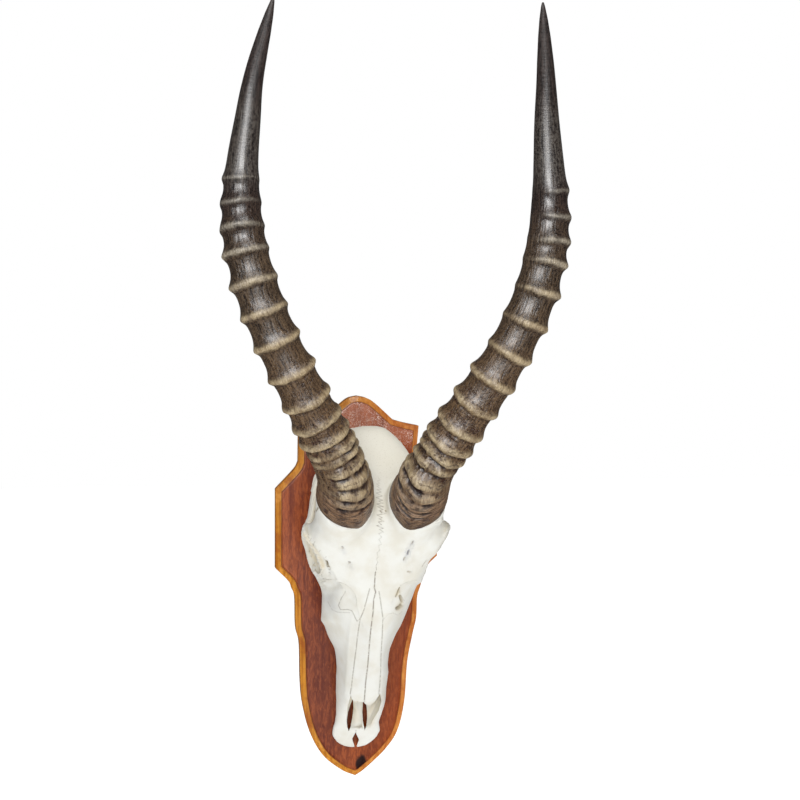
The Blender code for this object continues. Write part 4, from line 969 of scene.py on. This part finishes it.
# Marks on the bone where the photo shows them, in its pixels; depths and heights are in millimetres
marks = {
    # half width, depth, how dark, points: the sutures, and lines of painted shade in slits, along ledge
    # edges and in small grooves across the brow
    "seamsAndShadeLines": (
        (0.55, 0.5, 1, ((375.6, 572.4), (375, 577.6), (374.3, 588.1), (375.7, 592.1), (373.7, 600.2),
         (373, 613.6), (371.6, 624), (370.3, 635), (369.2, 647), (368.3, 659.1), (367.6, 667.1),
         (365.6, 683.2), (364.3, 702))),
        (0.5, 0.4, 0.75, ((369.6, 588.8), (367, 598.8), (363.6, 610.9), (359.6, 620.3), (357.6, 635),
         (356.3, 647.1), (353.6, 667.1), (351.6, 684.6), (350.2, 693.9))),
        (0.5, 0.4, 0.75, ((379, 591.5), (381, 604.2), (383, 618.9), (382.4, 635), (381.3, 653.8),
         (380.8, 671.2), (380.1, 684.6), (379, 693.9))),
        (0.4, 0.2, 0.7, ((343.5, 593.5), (340.2, 598.8), (338.2, 605.5), (340.2, 609.6), (346.9, 610.2),
         (351.6, 612.2), (352.2, 613.6), (354.2, 618.9), (356.3, 622.3), (359.6, 620.3))),
        (0.35, 0.15, 0.45, ((327.5, 601.5), (332.1, 609.6), (337.5, 612.2), (343, 612.5), (349, 613.5))),
        (0.45, 0.3, 0.8, ((357.6, 702), (356.9, 714), (356.5, 723.4), (355.8, 734))),
        (0.35, 0.15, 0.5, ((399.8, 589.5), (401.5, 596), (404.5, 601))),
        (0.35, 0.12, 0.35, ((384, 619), (388.5, 614), (393, 613), (398, 615), (402, 611.5))),
        (0.3, 0.1, 0.5, ((314.3, 497), (311.5, 508), (309.7, 518.7))),
        (0.4, 0.2, 0.6, ((321.5, 580), (325, 581.6), (332, 582.4), (340, 582.6), (346, 585))),
        (0.4, 0.15, 0.35, ((346, 585), (351, 589), (355, 595), (356.6, 601))),
        (0.5, 0.3, 0.6, ((422.3, 566.5), (424.5, 563), (426.8, 560))),
        (0.4, 0.15, 0.35, ((400.4, 586), (407, 582.4), (417, 580.2))),
        (0.45, 0.3, 0.45, ((306.4, 537), (308.6, 534.6))),
        (0.45, 0.3, 0.45, ((309.4, 541.6), (311.4, 538.2))),
        (0.45, 0.3, 0.5, ((312.8, 545.8), (315, 541.6))), (0.45, 0.3, 0.4, ((318.6, 552.6), (320.4, 550))),
        (0.45, 0.3, 0.4, ((323.4, 558.8), (326.4, 556.4))),
        (0.4, 0.2, 0.4, ((302.4, 531.4), (304.6, 529.6))),
    ),
    # the seam down the forehead: its line, how far it swings, how dark it is, and its steps
    "zigzag": ((378.2, 475), (378.4, 484), (379.3, 498.7), (380.3, 509.2), (380.3, 519.7), (380.8, 527),
        (380, 537), (380.4, 543), (379, 550), (377.4, 557), (376.8, 565), (375.6, 572.4)),
    "zigzagReach": ((475, 0.6), (486, 1.6), (500, 3), (528, 2.6), (536, 1.2), (550, 1), (572, 0.3)),
    "zigzagShade": ((475, 0.15), (492, 0.55), (505, 0.8), (528, 0.85), (536, 0.5), (560, 0.4), (568, 0.9)),
    "zigzagStep": ((475, 2.2), (500, 1.7), (530, 2), (540, 3), (572, 3.2)),
    # depth of the drop on the right hand along the points, its width, where it rises again
    "ledges": (
        (2.6, 1.2, (18, 24), ((299, 526), (303, 534.5), (308, 540), (314.5, 546.5), (321, 555),
         (326.6, 561), (330.6, 569.5))),
        (1.9, 1, (4, 17), ((317, 580.6), (326.6, 582.2), (337, 582.2), (344.5, 584.2), (350.9, 588.8),
         (354.9, 594.8), (356.3, 600.2), (356.8, 607), (359, 615))),
        (1, 1, (2, 12), ((394.5, 597.5), (397.5, 590), (401.5, 585.2), (407.5, 582.2), (415, 580.4),
         (426, 579.4))),
    ),
    # half width, height, points
    "ridges": (
        (2.6, 0.6, ((330.6, 566.5), (334, 572), (341, 577), (349, 581), (356.5, 588))),
        (2.2, 0.5, ((301.5, 524), (305.5, 534), (316, 545), (328, 558))),
        (1.4, 0.5, ((447, 528), (446, 536), (441, 545), (436, 553), (428, 560))),
        (2, 0.5, ((352, 612), (349, 640), (347, 668), (345.5, 692))),
    ),
    # half width, depth, points; broad and shallow
    "dents": (
        (7, 1.6, ((331, 592), (339, 594), (346, 600))), (2, 1.5, ((325.5, 564.5), (328, 568.5))),
        (4.5, 1.1, ((404, 590), (410, 588.5), (416, 586))), (2, 0.8, ((319, 562), (324, 570), (327, 576))),
        (3, 0.5, ((377.5, 545), (376.5, 560), (375.5, 572))),
        (1.5, 0.6, ((405, 560), (409, 551), (413, 543))),
    ),
    # half width, depth, points
    "pits": (
        (0.8, 1, ((342.2, 547.2), (342.9, 547.7))), (0.8, 0.9, ((349, 562), (349.9, 562.3))),
        (0.6, 0.8, ((411.9, 544.5), (412.9, 541.8))), (0.9, 1.3, ((407.8, 553.8), (408.6, 551.5))),
        (0.8, 1.1, ((404, 559.7), (404.9, 557.8))), (0.7, 0.9, ((385.3, 510.8), (385.5, 511.2))),
        (0.8, 0.8, ((408, 571.6), (410.2, 572))), (0.7, 1.2, ((317.4, 508.4), (315.4, 511.4))),
        (1.8, 2.4, ((325.8, 562.5), (326.8, 566.5), (328.2, 568.4))),
        (0.9, 1.8, ((400, 588.5), (398.4, 592.5), (396.6, 596.6))),
        (1.2, 2.2, ((400.9, 597), (402.6, 602.6), (400.4, 606.6), (397, 608.4))),
    ),
    # half width, height, points
    "swells": (
        (1.9, 1.3, ((341.4, 549.9), (341.9, 550.5))), (2.2, 1.4, ((348.9, 564.9), (349.4, 565.8))),
        (2.6, 1, ((410.6, 557.6), (411.6, 558.4))), (2.6, 0.8, ((405.4, 565.6), (406.8, 565.2))),
    ),
    # half width, share of a painted bluish-grey shade, points: in pits, dents and shallow hollows
    "coolShade": (
        (5, 0.22, ((329, 599), (333, 607))), (3, 0.1, ((313, 540), (318, 528))),
        (0.7, 0.55, ((413.5, 541), (412.4, 545))), (0.6, 0.45, ((411.4, 543.5), (410, 548.2))),
        (0.5, 0.4, ((414.3, 544.5), (412.6, 549))), (1, 0.9, ((409, 550.5), (407.6, 554.5))),
        (0.6, 0.5, ((406.5, 548.4), (405.3, 552.6))), (0.7, 0.45, ((406.8, 555.2), (404.8, 558.4))),
        (0.6, 0.6, ((404.6, 557.6), (403.7, 560.3))), (0.5, 0.35, ((410.9, 551.3), (409.6, 556))),
        (2.6, 0.2, ((412, 543), (408, 552), (405, 559.5))), (1, 0.35, ((408, 571.6), (410.8, 572))),
        (9, 0.09, ((367, 630), (362, 682))), (0.6, 0.8, ((342, 547), (343.2, 547.8))),
        (0.6, 0.75, ((348.8, 561.8), (350, 562.2))), (2.2, 0.18, ((343, 549.5), (344.5, 553))),
        (2.2, 0.16, ((350.5, 564.5), (352.5, 569))),
    ),
    # half width, share of a painted dark olive shade, points: in holes, slits, small grooves and on the far
    # side of the orbit
    "darkShade": (
        (0.9, 0.85, ((317.5, 508.2), (315.2, 511.6))),
        (1.9, 0.4, ((326.6, 563), (327.4, 566.5), (328.6, 567.6))),
        (0.7, 0.8, ((323.4, 558.9), (326.9, 561.6))), (0.7, 0.75, ((324.6, 561), (325, 569))),
        (0.6, 0.75, ((325, 569.4), (330.2, 569.6))),
        (0.9, 0.7, ((400, 588.5), (398.4, 592.5), (396.6, 596.6))),
        (0.8, 0.55, ((400.8, 596.6), (402.8, 602.8))), (1.5, 0.8, ((401.2, 605.6), (397.2, 608.4))),
        (1.5, 0.42, ((443, 518.5), (448.6, 524.5), (448.8, 531.5), (446, 538), (441.8, 545),
         (438.4, 550.5))), (0.5, 0.55, ((307.8, 536.4), (309.2, 538.2))),
        (0.5, 0.55, ((313, 543.6), (314.2, 547.4))), (0.5, 0.5, ((326.8, 571.8), (328.2, 572.2))),
        (0.5, 0.5, ((326.6, 575.6), (328, 576))), (0.6, 0.7, ((380.4, 511), (381.6, 512.6))),
        (0.5, 0.6, ((385, 510.6), (385.9, 511.6))),
    ),
    # half width, points: painted shade in dark holes, under the nose's tips and in recesses
    "shadeStrokes": (
        (2.6, ((400.6, 606), (398.2, 608.2))), (2.4, ((399, 592), (397.4, 595))),
        (3.6, ((304, 536), (309, 548), (314, 558), (320, 568))), (1.2, ((356.8, 702.4), (365, 705.4))),
        (5, ((372.5, 709), (369, 721))),
    ),
    "depthGap": 5,  # a point this far behind what hides it is not marked
    "edgeOn": 0.08,  # nor is a point that is turned away further than this
    # the sides, as the photo shows them: its row, how far it is from the middle to the
    # form's edge there, and how far the edge moves to the right
    "middle": ((420, 378), (560, 373), (750, 357)),
    "leftEdge": ((496, 70, 1.2), (508, 72, 2.4), (517, 73, 2.2), (524, 75, 0), (530, 76, 0), (556, 66, -1),
        (564, 62, -2), (572, 57, -3), (580, 53, -2), (588, 50, 0), (594, 49, 0.5), (604, 46, -0.8),
        (612, 44.5, -2), (620, 42.5, -4), (626, 40.5, -1.5), (634, 38, -1), (640, 36, 0), (648, 33.5, 2),
        (668, 28.5, 2), (676, 28, 1.2), (692, 26.5, 1.2), (700, 26, 2), (714, 26, 2), (722, 26, 1.5),
        (728, 25.5, 0), (734, 24, -1), (744, 16, 0)),
    "rightEdge": ((515, 66, 0.5), (520, 68, 3), (525, 72, 1), (532, 72, -0.5), (540, 69, 1.5),
        (548, 65, 2.8), (555, 61, 1.4), (561, 58, -0.6), (568, 53, 1), (576, 49, 2.6), (582, 45.5, 4.4),
        (585, 44, 1), (596, 41, 0.7), (606, 39, -0.5), (616, 36.5, -1.5), (626, 33.5, -2.5), (634, 32, -4),
        (648, 27.5, -4), (656, 26, -3), (664, 25, -2), (672, 23.5, 0), (688, 22.5, 0.3), (700, 21, 2),
        (706, 20.5, 2), (714, 19.5, 1), (722, 19.5, -1), (730, 19.5, 1), (742, 13, -1)),
    "zigzagLine": (0.34, 0.3),  # the forehead seam's half width and depth
    "depthCell": 1.5,  # how large a patch of the photo shares one nearest depth
}


def zigzagSeam():  # the interlocking teeth of the seam down the middle of the forehead
    path = np.array(marks["zigzag"])
    points = []
    up, side, turn = path[0, 1], 1.0, 0
    while up < path[-1, 1]:
        swing = max(0.25, 1.0 + 1.7 * noise.noise(Vector((turn * 1.7, 3.0, 0.0))))
        middle = np.interp(up, path[:, 1], path[:, 0])
        points.append((middle + side * swing * lookUp(up, marks["zigzagReach"]), up + 0.5 * side))
        longer = 1.0 + 1.2 * noise.noise(Vector((turn * 2.3, 9.0, 0.0)))
        up += lookUp(up, marks["zigzagStep"]) * longer
        side, turn = -side, turn + 1
    return points


def facingPhoto(mesh):  # which points the photo sees, and where
    points = readPoints(mesh)
    normals = np.empty(len(mesh.vertices) * 3)
    mesh.vertices.foreach_get("normal", normals)
    normals = normals.reshape(-1, 3)
    facing = (normals * unit(np.array(camera["place"]) - points)).sum(1)
    across, down, depth = photoPixels(points)
    size = marks["depthCell"]
    cell = (across / size).astype(int) * 1000 + (down / size).astype(int)
    names, where = np.unique(cell, return_inverse=True)
    nearest = np.full(len(names), 100.0)
    np.minimum.at(nearest, where.ravel(), depth)
    seen = (facing > marks["edgeOn"]) & (depth < nearest[where.ravel()] + marks["depthGap"] * millimetre)
    return np.stack([across, down], axis=1), normals, np.clip(facing * 3.0, 0.0, 1.0) * seen


def refineNearSeams(body, reach):
    seamsAndShadeLines = [mark[-1] for name in ("seamsAndShadeLines", "ledges", "pits") for mark in marks[name]] + [zigzagSeam()]
    seamsAndShadeLines += [points for width, share, points in marks["darkShade"] if width < 1.0]
    spots, normals, seen = facingPhoto(body.data)
    near = np.zeros(len(spots), bool)
    for points in seamsAndShadeLines:
        near |= (strokeDistance(spots, points) < reach) & (seen > 0.0)
    openMesh(body, "DESELECT")
    shape = bmesh.from_edit_mesh(body.data)
    shape.verts.ensure_lookup_table()
    for face in shape.faces:
        face.select_set(any(near[vertex.index] for vertex in face.verts))
    bmesh.update_edit_mesh(body.data)
    bpy.ops.mesh.subdivide(number_cuts=1)
    bpy.ops.mesh.vertices_smooth(factor=0.4)
    closeMesh()


def trimSides(body):
    points = readPoints(body.data)
    across, down, depth = photoPixels(points)
    away = across - lookUp(down, marks["middle"])
    move = np.zeros(len(points))
    for word, side in (("left", -1.0), ("right", 1.0)):
        edge = marks[word + "Edge"]
        share = away * side / lookUp(down, edge)
        shown = (down > edge[0][0] - 4.0) * (down < edge[-1][0] + 4.0)
        move += smooth(0.45, 1.0, share) * lookUp(down, edge, 2) * shown
    points += np.array(cameraAxes()[0]) * (move * depth / zoom)[:, None]
    writePoints(body.data, points)


def markBone(body):
    trimSides(body)
    for reach in (2.2, 1.3):
        refineNearSeams(body, reach)
    spots, normals, seen = facingPhoto(body.data)
    move = np.zeros(len(spots))
    seamAndShadeLine = np.zeros(len(spots))
    for name, way in (("ridges", 1.0), ("swells", 1.0), ("dents", -1.0)):
        for width, height, points in marks[name]:
            move += way * height * stroke(spots, points, width)
    for depth, width, rise, points in marks["ledges"]:
        away = strokeDistance(spots, points, signed=True)
        move -= depth * smooth(0.0, width, away) * (1.0 - smooth(rise[0], rise[1], away))
    recessShade = np.zeros(len(spots))
    # each pit is sunk and painted with shade
    for width, depth, points in marks["pits"]:
        hole = stroke(spots, points, width, 4)
        move -= depth * hole
        recessShade = np.maximum(recessShade, hole)
    fading = lookUp(spots[:, 1], marks["zigzagShade"])
    zigzag = marks["zigzagLine"] + (fading, zigzagSeam())
    # sutures, and painted shade lines where the marks lie in slits and along edges
    for width, depth, shade, points in marks["seamsAndShadeLines"] + (zigzag,):
        line = stroke(spots, points, width)
        move -= depth * line * shade
        seamAndShadeLine = np.maximum(seamAndShadeLine, line * shade)
    # painted shade along these strokes, in the same coat as the hollows
    for width, points in marks["shadeStrokes"]:
        recessShade = np.maximum(recessShade, stroke(spots, points, width))
    # painted shade, bluish grey and dark olive, each at its strongest stroke
    shades = {}
    for name in ("coolShade", "darkShade"):
        shades[name] = np.zeros(len(spots))
        for width, share, points in marks[name]:
            shades[name] = np.maximum(shades[name], share * stroke(spots, points, width))
    points = readPoints(body.data)
    points += normals * (move * seen * millimetre)[:, None]
    writePoints(body.data, points)
    # painted shade: the cream-brown goes where the bone hides its own sky, in pits and along the shade
    # strokes
    deep = smooth(0.0, 1.0, hollowness(body))
    paintOn(body.data, "seamAndShadeLine", seamAndShadeLine * (seen > 0.0))
    paintOn(body.data, "recessShade", np.maximum(recessShade * (seen > 0.0), deep))
    for name, shade in shades.items():
        paintOn(body.data, name, shade * (seen > 0.0))


# The rays that find hollows: where the leaning ones point, where they start and how far they look, in metres
hollow = {"turns": (0.0, 1.26, 2.51, 3.77, 5.03), "lean": 0.8, "rise": 0.6, "start": 0.0012, "reach": 0.045}


def hollowness(body):  # how much of the sky above a point the bone itself hides, 0 to 1
    mesh = body.data
    tree = bvhOf(mesh)
    lean = hollow["lean"]
    rays = [Vector((math.sin(turn) * lean, math.cos(turn) * lean, hollow["rise"])).normalized()
            for turn in hollow["turns"]] + [Vector((0.0, 0.0, 1.0))]
    hidden = np.zeros(len(mesh.vertices))
    for index, vertex in enumerate(mesh.vertices):
        turn = vertex.normal.to_track_quat("Z", "Y")
        start = vertex.co + vertex.normal * hollow["start"]
        hits = sum(1 for ray in rays if tree.ray_cast(start, turn @ ray, hollow["reach"])[0] is not None)
        hidden[index] = hits / len(rays)
    return hidden


def bvhOf(mesh):
    return BVHTree.FromPolygons([vertex.co for vertex in mesh.vertices],
                                [polygon.vertices for polygon in mesh.polygons])


def boneFinish():
    bone = Finish("bleached bone")
    blend, step, grain = bone.blend, bone.step, bone.grain
    mottle = grain(bone.spot, 55.0, 4.0)
    fine = grain(bone.spot, 900.0, 4.0, 0.6)
    z = bone.node("SeparateXYZ", {}, {0: bone.spot}, "Z")
    # the dome is a warmer cream, and it is also painted lighter: painted light from above
    dome = step(z, 0.075, 0.12)
    broken = step(grain(bone.spot, 420.0, 2.0), 0.30, 0.55)
    specks = step(grain(bone.spot, 800.0, 3.0, 0.65), 0.56, 0.66)
    # painted shade: the cream-brown, bluish-grey and dark olive coats; the seam coat is sutures and painted
    # shade lines
    colour = bone.coats(blend(step(mottle, 0.34, 0.70), paint(206, 206, 200), paint(198, 195, 184)),
                        (dome * 0.8, 221, 216, 200), (bone.attribute("recessShade") * 0.75, 194, 181, 152),
                        (bone.attribute("coolShade"), 128, 132, 144), (bone.attribute("darkShade"), 98, 88, 66),
                        (bone.attribute("seamAndShadeLine") * (0.15 + 0.75 * broken), 108, 98, 84),
                        (specks * (0.06 + 0.16 * dome), 168, 158, 134))
    bone.set("Base Color", colour)
    bone.set("Roughness", 0.46 + 0.2 * step(fine, 0.3, 0.7))
    bone.set("Normal", bone.bump(fine * 0.5 + mottle * 0.5, 0.18, 0.0006))
    return bone


body = makeSkullForm()
print("skull form", len(body.data.polygons))
markBone(body)
pick(body)
bpy.ops.object.shade_smooth()
boneFinish().wear(body)
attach(body, "root")
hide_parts("skull")
print("skull made", len(body.data.polygons))


# The teeth: the row from the nose back, each tooth's length and width, and its outline at several heights
teeth = {
    # across and up, down the middle of the row
    "row": ((18.6, -45), (21, -30), (23.6, -14), (25.2, 4), (25.4, 20), (24.6, 31)),
    "lengths": (8, 9.5, 10.5, 14, 16, 16.5), "widths": (7, 9, 10.5, 12, 12.5, 11.5), "apart": 0.5,
    "fine": 60,
    # height above the board and size: the worn face sinks a little inside its rim
    "stages": ((0.9, 0.55), (0.8, 0.74), (0.4, 0.81), (0.7, 0.87), (1.8, 0.94), (4, 0.98), (8, 1),
        (13, 0.97), (17.5, 0.9)),
    "perLobe": 16,
    # least half width and bulge of each side, and how strong and wide the rib is
    "tongue": (0.28, 0.2), "cheek": (0.36, 0.09), "rib": (0.05, 0.13),
    "crescent": ((-0.3, -0.06), (-0.18, 0.13), (0, 0.19), (0.18, 0.13), (0.3, -0.06)),
    "crescentRadii": (0.35, 0.8, 1, 0.8, 0.35), "crescentHigh": 0.6,
    "crescentApart": 0.84, "crescentLong": 0.8, "smoothAngle": 45,
}


def rowPlace(distance):  # the middle of the row that far from its nose end, and which way the row runs there
    row, fine = teeth["row"], teeth["fine"]
    line = np.array([splinePoint(row, step / fine) for step in range(fine * (len(row) - 1) + 1)])
    run = runAlong(line)
    here, ahead = (Vector([np.interp(spot, run, line[:, axis]) for axis in (0, 1)])
                   for spot in (distance, distance + 1.0))
    return here, (ahead - here).normalized()


def toothOutline(lobes):  # shares of the length and of the width: the tongue side, then the cheek side back
    shares = [(step + 0.5) / teeth["perLobe"] for step in range(teeth["perLobe"] * lobes)]
    least, bulge = teeth["tongue"]
    points = [(share / lobes - 0.5, -least - bulge * math.sin(math.pi * (share % 1.0)) ** 0.6)
              for share in shares]
    least, bulge = teeth["cheek"]
    rib, wide = teeth["rib"]
    for share in shares[::-1]:
        edge = abs(math.cos(math.pi * (share % 1.0))) ** 3
        middle = math.exp(-(((share % 1.0) - 0.5) / wide) ** 2)
        points.append((share / lobes - 0.5, least + bulge * edge + rib * middle))
    return points


def makeTooth(name, side, number, start):
    length, width = teeth["lengths"][number], teeth["widths"][number]
    middle, along = rowPlace(start + length / 2.0)
    cheek = Vector((along.y, -along.x))
    lobes = 2 if number > 2 else 1

    def spotAt(lengthwise, crosswise, out):
        spot = middle + along * length * lengthwise + cheek * width * crosswise
        return onSkull(side * spot.x, out, spot.y)
    outline = toothOutline(lobes)
    rings = [[spotAt(lengthwise * size, crosswise * size, out) for lengthwise, crosswise in outline]
             for out, size in teeth["stages"]]
    tooth = loftBody(name, rings)
    for lobe in range(lobes):
        centre = (lobe + 0.5) / lobes - 0.5
        points = [spotAt(centre * teeth["crescentApart"] + lengthwise * teeth["crescentLong"] / lobes,
                         crosswise, teeth["crescentHigh"])
                  for lengthwise, crosswise in teeth["crescent"]]
        cut(tooth, barAlong("crescent", points, teeth["crescentRadii"]))
    pick(tooth)
    bpy.ops.object.shade_smooth_by_angle(angle=math.radians(teeth["smoothAngle"]))
    return tooth


def enamelFinish():
    enamel = Finish("tooth enamel")
    mottle = enamel.grain(enamel.spot, 300.0, 4.0)
    upright = enamel.grain(enamel.stretch(enamel.spot, (1.0, 0.15, 1.0)), 900.0, 3.0)
    y = enamel.node("SeparateXYZ", {}, {0: enamel.spot}, "Y")
    colour = enamel.coats(enamel.blend(mottle, paint(222, 208, 178), paint(190, 166, 122)),
                          (enamel.step(upright, 0.5, 0.7) * 0.5, 150, 118, 78),
                          (enamel.step(y, -0.0134, -0.0126) * 0.7, 140, 108, 72))
    enamel.set("Base Color", colour)
    enamel.set("Roughness", 0.28 + 0.2 * mottle)
    enamel.set("Normal", enamel.bump(mottle + upright, 0.3, 0.0004))
    return enamel


enamelCoat = enamelFinish()
for word, side in (("right", 1.0), ("left", -1.0)):
    reached = 0.0
    for number, length in enumerate(teeth["lengths"]):
        piece = makeTooth("cheek_tooth_%s_%d" % (word, number + 1), side, number, reached)
        reached += length + teeth["apart"]
        enamelCoat.wear(piece)
        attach(piece, "root")
        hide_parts("tooth_%s_%d" % (word, number + 1))
print("teeth made")


lights = {
    "sky": 0.5, "mirrored": -0.44,  # strength as a light, and what mirrors take off it
    "floorGlow": 0.6,
    "sheen": ((-0.55, -1.5, 0.55), 1.4, 17),  # its place, size and power; only mirrors see it
    "lamps": (
        ("key", (-0.42, -1.6, 0.46), 0.7, 10), ("right", (1.3, -0.7, 0.4), 0.8, 4),
        ("above", (0, -0.6, 1.5), 0.7, 9), ("low", (-0.05, -1.15, -0.32), 0.4, 1.6),
    ),
    "aim": (0, 0, 0.12), "floorSize": 8, "floorAt": -0.42,
}


def makeFloorAndLights():
    bpy.ops.mesh.primitive_plane_add(size=lights["floorSize"], location=(0.0, 0.0, lights["floorAt"]))
    floor = bpy.context.object
    floor.name = "floor"
    pale = Finish("pale floor")
    pale.set("Base Color", (0.92, 0.92, 0.92, 1.0))
    pale.set("Roughness", 0.9)
    pale.set("Emission Color", (1.0, 1.0, 1.0, 1.0))
    pale.set("Emission Strength", lights["floorGlow"])
    pale.wear(floor)
    floor.visible_glossy = False
    world = bpy.data.worlds.new("soft white")
    bpy.context.scene.world = world
    world.use_nodes = True
    tree = world.node_tree
    sky = tree.nodes["Background"]
    sky.inputs["Color"].default_value = (1.0, 1.0, 1.0, 1.0)
    path = tree.nodes.new("ShaderNodeLightPath")
    strength = tree.nodes.new("ShaderNodeMath")  # white behind the object, softer as a light, dim in mirrors
    rays = (("Is Camera Ray", lights["sky"], 1.0), ("Is Glossy Ray", 0.0, lights["mirrored"]))
    for number, (ray, low, high) in enumerate(rays):
        share = tree.nodes.new("ShaderNodeMapRange")
        share.inputs["To Min"].default_value = low
        share.inputs["To Max"].default_value = high
        tree.links.new(path.outputs[ray], share.inputs["Value"])
        tree.links.new(share.outputs["Result"], strength.inputs[number])
    tree.links.new(strength.outputs["Value"], sky.inputs["Strength"])
    for name, spot, size, power in lights["lamps"] + (("sheen",) + lights["sheen"],):
        light = bpy.data.lights.new(name, "AREA")
        light.size = size
        light.energy = power
        lamp = bpy.data.objects.new(name, light)
        lamp.location = spot
        lamp.visible_diffuse = name != "sheen"
        lamp.visible_glossy = name != "right"
        towards = Vector(lights["aim"]) - Vector(spot)
        lamp.rotation_euler = towards.to_track_quat("-Z", "Y").to_euler()
        bpy.context.scene.collection.objects.link(lamp)
    bpy.context.scene.view_settings.view_transform = "Standard"


makeFloorAndLights()
print("floor and lights set")
